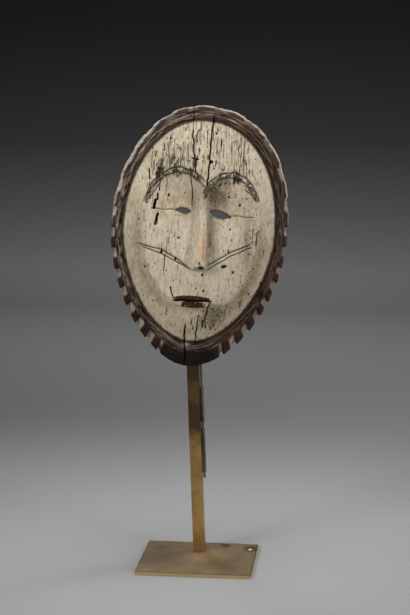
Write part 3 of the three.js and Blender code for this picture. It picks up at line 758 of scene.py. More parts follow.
def cavity_object():
    """The hollow behind the face, with the shallow scoops of the adze on its walls."""
    columns = CAVITY["columns"]
    rows = CAVITY["rows"]
    angles = np.arange(columns) / columns * 2 * math.pi
    random = np.random.default_rng(77)
    far_corner = (SCOOPS["half_width"], SCOOPS["half_height"])
    near_corner = (-SCOOPS["half_width"], -SCOOPS["half_height"])
    scoops = random.uniform(near_corner, far_corner, (SCOOPS["count"], 2))
    xs = [np.zeros(1)]
    zs = [np.zeros(1)]
    heights = [np.array([CAVITY["deepest"]])]
    for row in range(1, rows + 1):
        reach = math.sin(row / rows * math.pi / 2)
        height = cavity_height(reach)
        radius = reach * oval_radius(FACE_OVAL, angles)
        x = radius * np.cos(angles)
        z = radius * np.sin(angles)
        across = (x[:, None] - scoops[:, 0]) / SCOOPS["across"]
        along = (z[:, None] - scoops[:, 1]) / SCOOPS["along"]
        distance = np.hypot(across, along).min(axis=1)
        deeper = smoothstep(height, CAVITY["mouth"] + SCOOPS["start"], CAVITY["mouth"] + SCOOPS["full"])
        depth = SCOOPS["depth"] * clamp(1 - distance ** 2) * deeper
        narrowed = 1 - SCOOPS["narrowing"] * (1 - clamp(distance))
        xs.append(x * narrowed)
        zs.append(z * narrowed)
        heights.append(height - SCOOPS["depth"] + depth)
    xs.append(np.zeros(1))
    zs.append(np.zeros(1))
    heights.append(np.array([CAVITY["mouth"]]))
    rings = 1 + np.arange(rows * columns).reshape(rows, columns)
    bottom = 1 + rows * columns
    faces = [(0, a, b) for a, b in zip(rings[0], np.roll(rings[0], -1))]
    for inner, outer in zip(rings[:-1], rings[1:]):
        faces += strip_faces(inner, outer).tolist()
    faces += [(a, bottom, b) for a, b in zip(rings[-1], np.roll(rings[-1], -1))]
    vertices = in_mask_frame(np.concatenate(xs), np.concatenate(zs), np.concatenate(heights))
    return mesh_object("mask_cavity", vertices.tolist(), faces)


def lid_curve(start, control, end):
    """Points along a lid, which bends towards its control."""
    steps = np.linspace(0, 1, LID_POINTS)[:, None]
    return (1 - steps) ** 2 * start + 2 * steps * (1 - steps) * control + steps ** 2 * end


def slit_lids(corners):
    """The upper and the lower lid of an eye slit, from corner to corner and back."""
    outer, over, inner, under = (np.array(point) for point in corners)
    return lid_curve(outer, over, inner), lid_curve(inner, under, outer)


def slit_object(name, corners):
    """A closed prism through the wall, with the outline of one eye slit."""
    upper, lower = slit_lids(corners)
    outline = np.concatenate([upper[:-1], lower[:-1]])
    if upper[0, 0] < lower[0, 0]:
        outline = outline[::-1]
    count = len(outline)
    ends = [in_mask_frame(outline[:, 0], outline[:, 1], np.full(count, height)) for height in SLIT_HEIGHTS]
    sides = strip_faces(np.arange(count), np.arange(count, 2 * count)).tolist()
    faces = sides + [tuple(range(count)), tuple(range(2 * count - 1, count - 1, -1))]
    return mesh_object(name, np.concatenate(ends).tolist(), faces)


def apply_modifiers(target):
    """Bakes the modifiers of an object into its mesh."""
    graph = bpy.context.evaluated_depsgraph_get()
    mesh = bpy.data.meshes.new_from_object(target.evaluated_get(graph))
    target.modifiers.clear()
    target.data = mesh


def cut_away(target, cutter):
    modifier = target.modifiers.new("cut", "BOOLEAN")
    modifier.operation = "DIFFERENCE"
    modifier.solver = "MANIFOLD"
    modifier.object = cutter
    apply_modifiers(target)
    bpy.data.objects.remove(cutter)


def triangle_count(mesh):
    mesh.calc_loop_triangles()
    return len(mesh.loop_triangles)


def mask_matrix():
    turn = Matrix.Rotation(math.radians(MASK_YAW), 4, "Z")
    turn = turn @ Matrix.Rotation(math.radians(MASK_ROLL), 4, "Y")
    turn = turn @ Matrix.Rotation(math.radians(-MASK_LEAN_BACK), 4, "X")
    return Matrix.Translation(Vector(MASK_MIDDLE) * MM) @ turn


def set_attribute(mesh, name, values):
    attribute = mesh.attributes.new(name, "FLOAT", "POINT")
    attribute.data.foreach_set("value", np.asarray(values, np.float32))


def set_places(mesh, name, x, y, z):
    """Stores a place for each vertex, which a material reads as its coordinates."""
    attribute = mesh.attributes.new(name, "FLOAT_VECTOR", "POINT")
    attribute.data.foreach_set("vector", (np.stack([x, y, z], axis=1) * MM).astype(np.float32).ravel())


def lid_shade(x, z):
    """Painted shade along the lids of the eye slits, darkest along the upper ones."""
    soot_and_shade = np.zeros(np.shape(x))
    for corners in EYE_SLITS:
        for lid, (reach, strength) in zip(slit_lids(corners), LID_SHADE):
            chosen = near(x, z, lid, reach)
            distance, _ = path_distance(x[chosen], z[chosen], lid)
            fading = strength * (1 - smoothstep(distance, 0.3 * reach, reach))
            soot_and_shade[chosen] = np.maximum(soot_and_shade[chosen], fading)
    return soot_and_shade


def paint_mask(mesh):
    """Stores on each vertex what its surface is: clay, stains and soot with painted shade and light among
    them, ochre wood, grey grain or the rim.
    """
    places = np.zeros(len(mesh.vertices) * 3, np.float32)
    mesh.vertices.foreach_get("co", places)
    places = places.reshape(-1, 3).astype(float) / MM
    x, height, z = places[:, 0], -places[:, 1], places[:, 2]
    angle = np.arctan2(z, x)
    radius = np.hypot(x, z)
    face = oval_radius(FACE_OVAL, angle)
    band = oval_radius(BAND_OVAL, angle)
    hollow = cavity_height(np.minimum(radius / face, 1))
    inside = (radius < face * HOLLOW_SLACK["share"]) & (height < hollow + HOLLOW_SLACK["height"])
    on_face = ~inside & (radius <= face + FACE_SLACK["outward"]) & (height > FACE_SLACK["lowest"])
    set_places(mesh, "place", x, -height, z)
    squeezed = BAND_SQUEEZE * (radius - band)
    set_places(mesh, "along_band", BAND_TURN * np.cos(angle), squeezed, BAND_TURN * np.sin(angle))
    set_attribute(mesh, "face", on_face)
    set_attribute(mesh, "inside", inside)
    for name, values in face_colours(x, z, radius, face).items():
        set_attribute(mesh, name, clamp(values) * on_face)
    for name, values in rim_colours(x, z, height, angle, radius, face, band).items():
        set_attribute(mesh, name, clamp(values) * ~on_face * ~inside)


def face_soot_and_shade(x, z, radius, face):
    """Soot in the cuts and at the edge of the face, and painted shade along the lids of the eyes."""
    found = marks(x, z)
    return np.maximum.reduce([
        smoothstep(found["crack"] + found["hole"] + found["mouth"], 0.3, 1.5),
        0.75 * smoothstep(found["line"], 0.2, 1.4),
        0.75 * smoothstep(found["streak"], 0.15, 1.0),
        smoothstep(radius, face - 3.0, face - 0.2) * (0.5 + 0.5 * layered(x, z, 5, 5, seed=301)),
        lid_shade(x, z),
    ])


def face_brown(x, z):
    """Brown of the lips where it hasn't worn off, of the tip of the nose, and of a smear above the mouth."""
    wear = layered(x, z, 1.8, 4, seed=321)
    upper_lip, lower_lip = (lip_rise(lip, x, z) / lip["rise"] for lip in LIPS)
    upper_lip = (upper_lip > 0) * smoothstep(upper_lip + 0.4 * wear, 0.0, 0.22)
    lower_lip = (lower_lip > 0) * smoothstep(lower_lip + 0.5 * wear, 0.0, 0.3)
    lower_lip = lower_lip * (1 - smoothstep(np.abs(x - MOUTH_X - 1) + 3 * wear, 14, 19))
    lower_lip = lower_lip * smoothstep(wear, -0.75, -0.3)
    smear = spots(x, z, SMEARED_PLACES) * smoothstep(layered(x, z, 2.5, 2.5, seed=361), 0.0, 0.4)
    return np.maximum.reduce([upper_lip, 0.8 * lower_lip, spots(x, z, NOSE_TIP_PLACES), smear])


def face_colours(x, z, radius, face):
    """How much of each colour lies on the face: stains and grime on its slopes and under its edges,
    partly painted shade, as are the dark spots in its hollows and beside the nose.
    """
    plane = on_front_plane(x, z)
    # The slopes outside the front plane are darker, partly with painted shade
    slopes = smoothstep(radius / face, 0.62, 0.86) * smoothstep(-z, -30, 40) * (0.5 - 0.5 * plane)
    left_edge = smoothstep(-x, 70, 96) * (1 - smoothstep(z, 50, 100))
    under_edge = bell(front_plane_distance(x, z), -7, 6.5) * front_plane_fade(z + 15)
    # Stains, partly painted shade in the hollows and on the slopes, and painted light in one spot under the
    # nose
    stain_and_shading = 0.12 + 0.34 * slopes + 0.3 * left_edge + 0.6 * under_edge + spots(x, z, STAINED_AND_SHADED_PLACES)
    # Grime, partly painted shade beside the nose and in the hollows
    grime_and_shade = 0.3 * under_edge + spots(x, z, GRIMY_AND_SHADED_PLACES)
    grain = smoothstep(z, 50, 90) * (1 - 0.85 * smoothstep(radius / face, 0.80, 0.95))
    clay = clay_left(x, z) * (1 - smoothstep(radius, face - 1.4, face + 0.1))
    return dict(
        clay=clay - brow_ridge(x, z) * (0.52 + 0.65 * layered(x, z, 5, 5, seed=351)),
        stain_and_shading=stain_and_shading * (0.85 + 0.5 * layered(x, z, 15, 22, seed=331)),
        soot_and_shade=face_soot_and_shade(x, z, radius, face),
        brown=face_brown(x, z),
        ochre=spots(x, z, OCHRE_PLACES) * (0.7 + 0.5 * layered(x, z, 1.6, 18, seed=311)),
        grime_and_shade=grime_and_shade * (0.8 + 0.7 * layered(x, z, 6, 9, seed=341)),
        grain=grain + 0.28 + spots(x, z, GRAINY_PLACES),
        plane=plane,
    )


def rim_colours(x, z, height, angle, radius, face, band):
    """The band is nearly black with a worn streak; the notches hold white clay, and a painted highlight,
    partly clay, lies along the upper crest; the teeth are red-brown.
    """
    share, notch, full_depth = tooth_places(angle)
    across = (radius - face) / (band - face)
    over_bevel = (radius - band) / (oval_radius(RIM_OVAL, angle) - notch * full_depth - band)
    around = angle * BAND_TURN
    torn = layered(around, height, 6, 9, seed=411)
    bevel = smoothstep(over_bevel, 0.05, 0.25)
    right = smoothstep(x, -30, 30)
    chin = 1 - smoothstep(np.hypot(x + 4, (z + 178) * 1.3), 36, 46)
    # The streak along the band, and the worn edge between band and teeth
    patchy = smoothstep(layered(around, radius, 16, 3, seed=401), -0.4, 0.4)
    streak = bell(across, 0.66, 0.34) * (0.45 + 0.65 * patchy)
    streak = streak * lerp(1.3, 0.45, smoothstep(x, 10, 90)) * lerp(0.6, 1, smoothstep(z, -120, -30))
    streak = np.maximum(streak, 0.8 * bell(across, 1.2, 0.15) * smoothstep(torn, -0.5, 0.3))
    # Clay in the notches, a painted highlight along the crest of the upper rim that is partly clay, and clay
    # in one worn spot at the chin
    gap = smoothstep(share, 0.46, 0.6) * smoothstep(notch, 0.05, 0.5)
    gap = gap * smoothstep(over_bevel + 0.15 * torn, 0.15, 0.4)
    held = smoothstep(layered(around, 0 * height, 17, 9, seed=451), -0.75, 0.2)
    chalk_and_highlight = gap * (1.0 + 0.6 * torn) * lerp(0.35, 1, held) * lerp(1, 0.65, right)
    chalk_and_highlight = chalk_and_highlight * (1 - 0.75 * smoothstep(z, 70, 120))
    crest_start = lerp(0.38, 0.62, np.maximum(right, smoothstep(z, 110, 160)))
    crest_highlight = smoothstep(z, -20, 60) * smoothstep(over_bevel + 0.2 * torn, crest_start, crest_start + 0.2)
    crest_highlight = crest_highlight * smoothstep(layered(around, height, 12, 30, seed=431), -0.95, -0.3)
    chalk_and_highlight = np.maximum(chalk_and_highlight, 0.9 * crest_highlight)
    worn_off = smoothstep(-height, 15, 24) * lerp(0.45, 0.8, right)
    chalk_and_highlight = chalk_and_highlight * (1 - worn_off * lerp(1.2, 0.6, smoothstep(torn, -0.2, 0.5)))
    worn_spot = 0.7 * blob(x, z, -5, -160, 5.5, 3) * smoothstep(layered(x, z, 3, 3, seed=441), -0.5, 0.2)
    chalk_and_highlight = np.maximum(chalk_and_highlight * (1 - chin), worn_spot)
    # Red-brown wood, weaker at the left and at the chin
    rust = smoothstep(layered(around, radius + height, 18, 6, seed=421), -0.35, 0.35)
    rust = rust * (0.35 + 0.65 * smoothstep(x, -40, 60)) * (1 - 0.7 * chin * smoothstep(x, -24, -8))
    rust = rust * lerp(0.75, 1, bevel)
    return dict(chalk_and_highlight=chalk_and_highlight, streak=streak, rust=rust, bevel=bevel, chin=chin)


def smooth_shade(mesh):
    mesh.polygons.foreach_set("use_smooth", [True] * len(mesh.polygons))


def set_material(piece, material):
    piece.data.materials.clear()
    piece.data.materials.append(material)


def dress(piece, node, material):
    """Puts a finished piece in the place of its CAD node."""
    set_material(piece, material)
    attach(piece, "root")
    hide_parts(node)


def make_mask(material):
    mask = outer_skin()
    cut_away(mask, cavity_object())
    for index, corners in enumerate(EYE_SLITS):
        cut_away(mask, slit_object(f"slit_{index}", corners))
    count = triangle_count(mask.data)
    if count > MASK_TRIANGLES:
        modifier = mask.modifiers.new("thin", "DECIMATE")
        modifier.ratio = MASK_TRIANGLES / count
        apply_modifiers(mask)
    mask.name = "mask_carving"
    mask.data.name = "mask_carving"
    paint_mask(mask.data)
    mask.data.transform(mask_matrix())
    smooth_shade(mask.data)
    dress(mask, "mask", material)


# Materials
class Nodes:
    """A short way to write a material's node tree."""

    def __init__(self, name):
        self.material = bpy.data.materials.new(name)
        self.material.use_nodes = True
        self.tree = self.material.node_tree
        self.shader = self.tree.nodes["Principled BSDF"]
        self.coordinates = self.node("TexCoord").outputs["Object"]

    def link(self, value, socket):
        if isinstance(value, bpy.types.NodeSocket):
            self.tree.links.new(value, socket)
        else:
            socket.default_value = value

    def node(self, kind, inputs=None, **settings):
        """A new node, with its inputs given by name or by number."""
        made = self.tree.nodes.new("ShaderNode" + kind)
        for name, value in settings.items():
            setattr(made, name, value)
        for socket, value in (inputs or {}).items():
            self.link(value, made.inputs[socket])
        return made

    def attribute(self, name, output="Fac"):
        """A value stored on the vertices, or with the output Vector a place, to be used as coordinates."""
        return self.node("Attribute", attribute_name=name).outputs[output]

    def noise(self, size, detail=6.0, roughness=0.6, stretch=(1, 1, 1), places=None):
        """Noise with features about size metres across, and longer along an axis with a stretch below 1."""
        source = self.coordinates if places is None else places
        vector = self.node("Mapping", {"Vector": source, "Scale": stretch}).outputs["Vector"]
        inputs = {"Vector": vector, "Scale": 1 / size, "Detail": detail, "Roughness": roughness}
        return self.node("TexNoise", inputs).outputs["Fac"]

    def steps(self, value, low, high, low_value=0.0, high_value=1.0, shape="SMOOTHSTEP"):
        """Passes from low_value to high_value while a value passes from low to high."""
        source = {"Value": value, "From Min": low, "From Max": high}
        target = {"To Min": low_value, "To Max": high_value}
        return self.node("MapRange", source | target, interpolation_type=shape).outputs["Result"]

    def math(self, operation, *values):
        return self.node("Math", dict(enumerate(values)), operation=operation).outputs[0]

    def share(self, name, value, *steps):
        """A value stored on the vertices, times the steps of another value."""
        return self.math("MULTIPLY", self.attribute(name), self.steps(value, *steps))

    def mix(self, share, a, b):
        """Mixes two colours."""
        a, b = ((*colour, 1.0) if isinstance(colour, tuple) else colour for colour in (a, b))
        return self.node("Mix", {6: a, 7: b, "Factor": share}, data_type="RGBA").outputs[2]

    def coats(self, colour, *coats):
        """Lays coats over a colour one by one, each as (how much of it, its colour)."""
        for share, coat in coats:
            colour = self.mix(share, colour, coat)
        return colour

    def spot(self, middle, reach, blur):
        """1 on a round spot of the top of a piece, 0 away from it."""
        scale = (1 / reach[0], 1 / reach[1], 0)
        location = (-middle[0] / reach[0], -middle[1] / reach[1], 0)
        inputs = {"Vector": self.coordinates, "Location": location, "Scale": scale}
        vector = self.node("Mapping", inputs).outputs["Vector"]
        length = self.node("VectorMath", {0: vector}, operation="LENGTH").outputs["Value"]
        return self.steps(length, 1 - blur, 1 + blur, 1.0, 0.0)

    def ramp(self, value, tones):
        """Greys that follow a value, as (value, grey)."""
        low, high = tones[0][0], tones[-1][0]
        made = self.node("ValToRGB", {"Fac": self.steps(value, low, high, shape="LINEAR")})
        elements = made.color_ramp.elements
        while len(elements) < len(tones):
            elements.new(0.5)
        for element, (at, grey) in zip(elements, tones):
            element.position = (at - low) / (high - low)
            element.color = (grey, grey, grey, 1)
        return made.outputs["Color"]

    def axes(self):
        """The piece's own coordinates, one by one."""
        return self.node("SeparateXYZ", {0: self.coordinates}).outputs

    def bump(self, height, distance, strength, below=None):
        inputs = {"Distance": distance, "Strength": strength, "Height": height}
        if below is not None:
            inputs["Normal"] = below
        return self.node("Bump", inputs).outputs["Normal"]

    def finish(self, colour, roughness, normal, metallic=0.0):
        inputs = {"Base Color": colour, "Roughness": roughness, "Normal": normal, "Metallic": metallic}
        for name, value in inputs.items():
            self.link(value, self.shader.inputs[name])
        return self.material


CLAY = (0.57, 0.485, 0.355)
CLAY_PALE = (0.67, 0.59, 0.46)
CLAY_WARM = (0.40, 0.31, 0.19)
GRIME_AND_SHADE = (0.19, 0.15, 0.10)
BARE_GREY = (0.165, 0.132, 0.095)
BARE_DARK = (0.065, 0.050, 0.036)
GRAIN_DARK = (0.042, 0.032, 0.024)
SOOT_AND_SHADE = (0.013, 0.009, 0.007)
BROWN = (0.022, 0.012, 0.008)
BROWN_PALE = (0.062, 0.034, 0.021)
OCHRE = (0.42, 0.20, 0.075)
BAND_DARK = (0.010, 0.006, 0.005)
BAND_BROWN = (0.040, 0.024, 0.017)
BAND_STREAK = (0.33, 0.26, 0.19)
RUST = (0.085, 0.030, 0.016)
TOOTH_DARK = (0.018, 0.010, 0.008)
CHIN_DARK = (0.009, 0.006, 0.005)
CHALK_AND_HIGHLIGHT = (0.46, 0.40, 0.32)
INSIDE_WOOD = (0.085, 0.056, 0.036)
INSIDE_PALE = (0.15, 0.105, 0.070)


def face_colour(nodes, place, grain, speckle):
    """White clay over grey grain, with warm stains, soot in every cut, and ochre wood on the nose; the
    stains, grime and soot are partly painted shade, and the paler front plane is partly painted light.
    """
    dashes = nodes.noise(0.0025, detail=5, stretch=(1, 1, 0.12), places=place)
    brushed = nodes.noise(0.0048, detail=5, stretch=(1, 1, 0.12), places=place)
    blotch = nodes.noise(0.008, detail=5, stretch=(1, 1, 0.6), places=place)
    cloud = nodes.noise(0.028, detail=5, places=place)
    mottle = nodes.noise(0.0042, detail=5, roughness=0.75, stretch=(1, 1, 0.6), places=place)
    dots = nodes.noise(0.0022, detail=3, places=place)
    ragged = nodes.noise(0.0016, detail=4, stretch=(1, 1, 0.5), places=place)
    dotted = nodes.math("MULTIPLY_ADD", nodes.attribute("grime_and_shade"), 0.13, dots)
    clay = nodes.coats(
        CLAY,
        (nodes.steps(cloud, 0.42, 0.60), CLAY_PALE),
        # Paler on the front plane, partly painted light
        (nodes.share("plane", blotch, 0.3, 0.7, 0.1, 0.45), CLAY_PALE),
        # Warm stains, partly painted shade in the hollows and on the slopes, and held back under the nose as
        # painted light
        (nodes.share("stain_and_shading", blotch, 0.3, 0.7, 0.65, 1.15), CLAY_WARM),
        (nodes.steps(brushed, 0.46, 0.66, 0.0, 0.4), CLAY_WARM),
        (nodes.steps(grain, 0.52, 0.70, 0.0, 0.34), BARE_GREY),
        (nodes.steps(mottle, 0.50, 0.66, 0.0, 0.45), BARE_GREY),
        (nodes.steps(mottle, 0.36, 0.48, 0.45, 0.0), CLAY_PALE),
        # Grime, partly painted shade beside the nose and in the hollows
        (nodes.share("grime_and_shade", speckle, 0.28, 0.52), GRIME_AND_SHADE),
        (nodes.steps(dotted, 0.67, 0.74, 0.0, 0.9), SOOT_AND_SHADE),
    )
    bare = nodes.mix(nodes.steps(grain, 0.40, 0.60), BARE_GREY, BARE_DARK)
    torn = nodes.math("ADD", nodes.attribute("clay"), nodes.steps(grain, 0.3, 0.7, 0.24, -0.24))
    grainy = nodes.steps(cloud, 0.42, 0.60, 0.0, 0.15)
    dashed = nodes.math("MULTIPLY_ADD", nodes.attribute("grain"), grainy, dashes)
    brown = nodes.mix(nodes.steps(grain, 0.40, 0.62), BROWN, BROWN_PALE)
    brown_edge = nodes.math("MULTIPLY_ADD", ragged, 0.9, nodes.attribute("brown"))
    return nodes.coats(
        bare,
        (nodes.steps(torn, 0.3, 0.6), clay),
        (nodes.steps(dashed, 0.64, 0.75, 0.0, 0.9), GRAIN_DARK),
        (nodes.share("ochre", grain, 0.35, 0.6, 0.55, 1.0), OCHRE),
        (nodes.steps(brown_edge, 0.85, 1.05), brown),
        # Soot in the cuts, and painted shade along the lids of the eye slits
        (nodes.attribute("soot_and_shade"), SOOT_AND_SHADE),
    )


def rim_colour(nodes, place):
    """A dark band with worn streaks along it, and red-brown teeth with white clay between them and a painted
    highlight, partly clay, along the upper crest.
    """
    ring = nodes.attribute("along_band", "Vector")
    fibres = nodes.noise(0.0075, detail=5, roughness=0.68, stretch=(0.5, 0.5, 0.5), places=ring)
    blotch = nodes.noise(0.010, detail=5, places=place)
    grain = nodes.noise(0.0016, stretch=(1, 0.35, 0.35), places=place)
    teeth = nodes.mix(nodes.steps(grain, 0.36, 0.62), TOOTH_DARK, BAND_BROWN)
    return nodes.coats(
        BAND_DARK,
        (nodes.steps(fibres, 0.42, 0.60), BAND_BROWN),
        (nodes.share("streak", fibres, 0.43, 0.59), BAND_STREAK),
        (nodes.attribute("bevel"), teeth),
        (nodes.share("rust", blotch, 0.42, 0.60, 0.1, 0.85), RUST),
        (nodes.share("chin", fibres, 0.42, 0.62, 0.95, 0.3), CHIN_DARK),
        # White clay in the notches, and a painted highlight, partly clay, along the upper crest
        (nodes.share("chalk_and_highlight", grain, 0.36, 0.54, 0.45, 1.1), CHALK_AND_HIGHLIGHT),
    )


def wood_material():
    nodes = Nodes("old_wood_with_clay")
    place = nodes.attribute("place", "Vector")
    grain = nodes.noise(0.0015, stretch=(1, 1, 0.08), places=place)
    speckle = nodes.noise(0.0010, detail=3, places=place)
    blotch = nodes.noise(0.008, detail=5, places=place)
    inner = nodes.mix(nodes.steps(grain, 0.4, 0.65), INSIDE_WOOD, INSIDE_PALE)
    face = face_colour(nodes, place, grain, speckle)
    colour = nodes.coats(
        rim_colour(nodes, place), (nodes.attribute("face"), face), (nodes.attribute("inside"), inner),
    )
    roughness = nodes.steps(blotch, 0.35, 0.65, 0.78, 0.95)
    normal = nodes.bump(grain, 0.0009, 0.55, below=nodes.bump(speckle, 0.0006, 0.5))
    nodes.shader.inputs["Specular IOR Level"].default_value = 0.12
    return nodes.finish(colour, roughness, normal)


PLATE_GOLD = (0.33, 0.24, 0.130)
PLATE_BROWN = (0.195, 0.142, 0.078)
PLATE_LIT_SIDE = (0.62, 0.44, 0.20)
PLATE_WARM = (0.56, 0.36, 0.19)
PLATE_TARNISH_AND_SHADOW = (0.085, 0.062, 0.040)
CREAM = (0.78, 0.70, 0.52)
POST_GOLD = (0.57, 0.36, 0.128)
POST_DULL = (0.38, 0.235, 0.09)
POST_SHADOW_BROWN = (0.10, 0.064, 0.032)
BRACKET_LIGHT = (0.24, 0.20, 0.155)
BRACKET_DARK = (0.12, 0.098, 0.075)
SPECK_DARK = (0.06, 0.04, 0.025)

# Marks on the plate, as (middle, reach, blur, strength, colour), in metres from its middle: the warm glow
# at the foot of the post, the dull side, which is partly the painted shadow of the post, the dark corner,
# a stain and a faint one
PLATE_MARKS = [
    ((-0.002, 0.012), (0.034, 0.026), 0.8, 0.6, PLATE_WARM),
    ((-0.058, 0.008), (0.048, 0.050), 0.7, 0.45, PLATE_TARNISH_AND_SHADOW),
    ((0.0745, 0.047), (0.013, 0.013), 0.3, 1.0, PLATE_TARNISH_AND_SHADOW),
    ((0.0343, 0.0575), (0.0075, 0.0075), 0.25, 1.0, PLATE_TARNISH_AND_SHADOW),
    ((-0.060, 0.040), (0.009, 0.009), 0.5, 0.5, PLATE_TARNISH_AND_SHADOW),
]
# The spot of paint on it, as (middle, reach, blur)
PLATE_PAINT_SPOT = ((0.0714, 0.0434), (0.0027, 0.0030), 0.12)
# Half its width and depth, how broad the darker border along its edges is, the height of its top, how far
# below the top its sides start, which are made lighter with painted light, and how far its edges are softened
PLATE_HALVES = (0.0815, 0.0695)
PLATE_EDGE = 0.0035
PLATE_TOP = 0.005
PLATE_SIDE_STARTS = (0.0009, 0.0003)
PLATE_BEVEL = 0.0005

# Heights on the post, in metres, between which it passes from its gold foot to the brown above, which is the
# painted shadow of the mask, and between which a lighter patch in that brown begins and ends, and how far the
# clouds shift them
POST_GOLD_ENDS = (0.178, 0.222)
POST_PATCH_STARTS = (0.250, 0.262)
POST_PATCH_ENDS = (0.276, 0.290)
POST_WAVER = 0.06
POST_LEAN = math.radians(1.9)
POST_BEVEL = 0.0006


def brushed_brass(nodes, bright, dark, brushed):
    """Colour of tarnished brass, with cloudy patches, fine brushing and scattered dark specks."""
    clouds = nodes.noise(0.035, roughness=0.62)
    brushing = nodes.noise(0.0012, detail=3, stretch=brushed)
    specks = nodes.noise(0.0022, detail=2)
    colour = nodes.coats(
        bright,
        (nodes.steps(clouds, 0.36, 0.64), dark),
        (nodes.steps(brushing, 0.35, 0.7, 0.0, 0.22), dark),
        (nodes.steps(specks, 0.66, 0.74, 0.0, 0.6), SPECK_DARK),
    )
    return colour, clouds, brushing


def finish_brass(nodes, colour, clouds, brushing, roughness, metallic):
    """Finishes brass with a roughness that follows its clouds between two values, and brushing in relief."""
    cloudy = nodes.steps(clouds, 0.3, 0.7, *roughness)
    uneven = nodes.math("ADD", cloudy, nodes.steps(brushing, 0.3, 0.7, -0.05, 0.05))
    return nodes.finish(colour, uneven, nodes.bump(brushing, 0.00012, 0.35), metallic)


def plate_material():
    nodes = Nodes("plate_tarnished")
    colour, clouds, brushing = brushed_brass(nodes, PLATE_GOLD, PLATE_BROWN, (0.15, 1, 1))
    blotch = nodes.noise(0.006, detail=5)
    for middle, reach, blur, strength, mark in PLATE_MARKS:
        uneven = nodes.steps(blotch, 0.3, 0.65, 0.75 * strength, strength)
        colour = nodes.mix(nodes.math("MULTIPLY", nodes.spot(middle, reach, blur), uneven), colour, mark)
    colour = nodes.mix(nodes.steps(blotch, 0.52, 0.70, 0.0, 0.28), colour, PLATE_TARNISH_AND_SHADOW)
    x, y, z = nodes.axes()
    for axis, half in zip((x, y), PLATE_HALVES):
        near_edge = nodes.steps(nodes.math("ABSOLUTE", axis), half - PLATE_EDGE, half, 0.0, 0.75)
        colour = nodes.mix(near_edge, colour, PLATE_TARNISH_AND_SHADOW)
    # Painted light: the sides lighter than the top
    side_low, side_high = (PLATE_TOP - below for below in PLATE_SIDE_STARTS)
    colour = nodes.mix(nodes.steps(z, side_low, side_high, 0.85, 0.0), colour, PLATE_LIT_SIDE)
    paint = nodes.spot(*PLATE_PAINT_SPOT)
    colour = nodes.mix(paint, colour, CREAM)
    metallic = nodes.steps(paint, 0.0, 1.0, 0.6, 0.0)
    return finish_brass(nodes, colour, clouds, brushing, (0.42, 0.6), metallic)


def post_material():
    nodes = Nodes("post_satin")
    colour, clouds, brushing = brushed_brass(nodes, POST_GOLD, POST_DULL, (1, 1, 0.08))
    waver = nodes.math("MULTIPLY_ADD", clouds, POST_WAVER, nodes.axes()[2])
    # Painted shadow of the mask: brown above the gold foot, with a lighter patch in it
    colour = nodes.mix(nodes.steps(waver, *POST_GOLD_ENDS), colour, POST_SHADOW_BROWN)
    patch_ends = nodes.steps(waver, *POST_PATCH_ENDS, 0.25, 0.0)
    patch = nodes.math("MULTIPLY", nodes.steps(waver, *POST_PATCH_STARTS), patch_ends)
    colour = nodes.mix(patch, colour, POST_DULL)
    return finish_brass(nodes, colour, clouds, brushing, (0.32, 0.45), 0.85)


def bracket_material():
    nodes = Nodes("bracket_dull")
    brass = brushed_brass(nodes, BRACKET_LIGHT, BRACKET_DARK, (1, 1, 0.1))
    return finish_brass(nodes, *brass, (0.4, 0.55), 1.0)


# Stand pieces
def bevelled(name, low, high, width, shift=None):
    """A box with softened edges, whose points a function may shift."""
    mesh = bpy.data.meshes.new(name)
    build = bmesh.new()
    bmesh.ops.create_cube(build, size=1.0)
    for vertex in build.verts:
        vertex.co = Vector(lerp(low[axis], high[axis], vertex.co[axis] + 0.5) for axis in range(3))
    bmesh.ops.bevel(build, geom=build.edges[:], offset=width, segments=3, profile=0.5, affect="EDGES")
    if shift is not None:
        for vertex in build.verts:
            vertex.co = shift(vertex.co)
    build.to_mesh(mesh)
    build.free()
    return add_object(name, mesh)


def make_plate(material):
    low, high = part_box("base_plate")
    dress(bevelled("plate_slab", low, high, PLATE_BEVEL), "base_plate", material)


def make_post(material):
    """The bar is made upright from its foot, and then sheared over to its lean."""
    low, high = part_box("post")
    side = high.y - low.y
    drift = math.tan(POST_LEAN)
    foot_left = high.x - side + drift * (low.z - PLATE_TOP)

    def shear(point):
        return Vector((point.x - (point.z - PLATE_TOP) * drift, point.y, point.z))

    upright_low = Vector((foot_left, low.y, low.z))
    upright_high = Vector((foot_left + side, high.y, high.z))
    bar = bevelled("post_bar", upright_low, upright_high, POST_BEVEL, shear)
    dress(bar, "post", material)


# Surroundings: a plain pale floor, a sheet far behind it that rises and darkens with painted shade, soft
# light and the camera
FLOOR_PALE = 0.31
# The sheet starts to rise far enough behind the object for a camera to stand in front of the rise
SHEET = dict(width=9.0, front=-3.0, back=2.3, rise_radius=0.8, rise_steps=16, top=4.5)
# Greys of the sheet, as (metres from the object, counted back and up, grey): the floor is one grey
# throughout, and the rise darkens with painted shade
SHEET_TONES_AND_SHADE = [(2.7, FLOOR_PALE), (3.1, 0.18), (3.5, 0.065), (4.0, 0.018)]

# Lights as (name, place, target, size, watts, degrees by which the light spreads)
LIGHTS = [
    ("key_left", (-1.4, -1.6, 1.4), (0, 0, 0.42), (0.8, 0.8), 31, 180),
    ("top", (0.1, -0.05, 1.75), (0, 0, 0), (0.9, 0.6), 1.9, 55),
    ("key_right", (1.95, -1.35, 0.85), (0, 0, 0.52), (0.7, 0.8), 3.1, 60),
    ("edge_right", (0.95, 0.75, 1.15), (0, 0, 0.42), (0.35, 0.8), 8, 180),
    ("back_left", (-0.9, 1.3, 1.2), (0, 0, 0.5), (0.7, 0.7), 1.6, 60),
    ("backdrop", (0, 1.0, 1.7), (0, 2.3, 0), (1.6, 0.3), 4.2, 90),
]
WORLD = dict(colour=(0.5, 0.5, 0.52, 1), strength=0.08)

# The camera that was fitted to the photo, with its lens in millimetres and its turns in degrees
CAMERA = dict(
    place=(0.238, -1.992, 0.687), looks_down=9.01, turn=6.53, lens=85.0, sensor=36.0, clip_start=0.05,
)


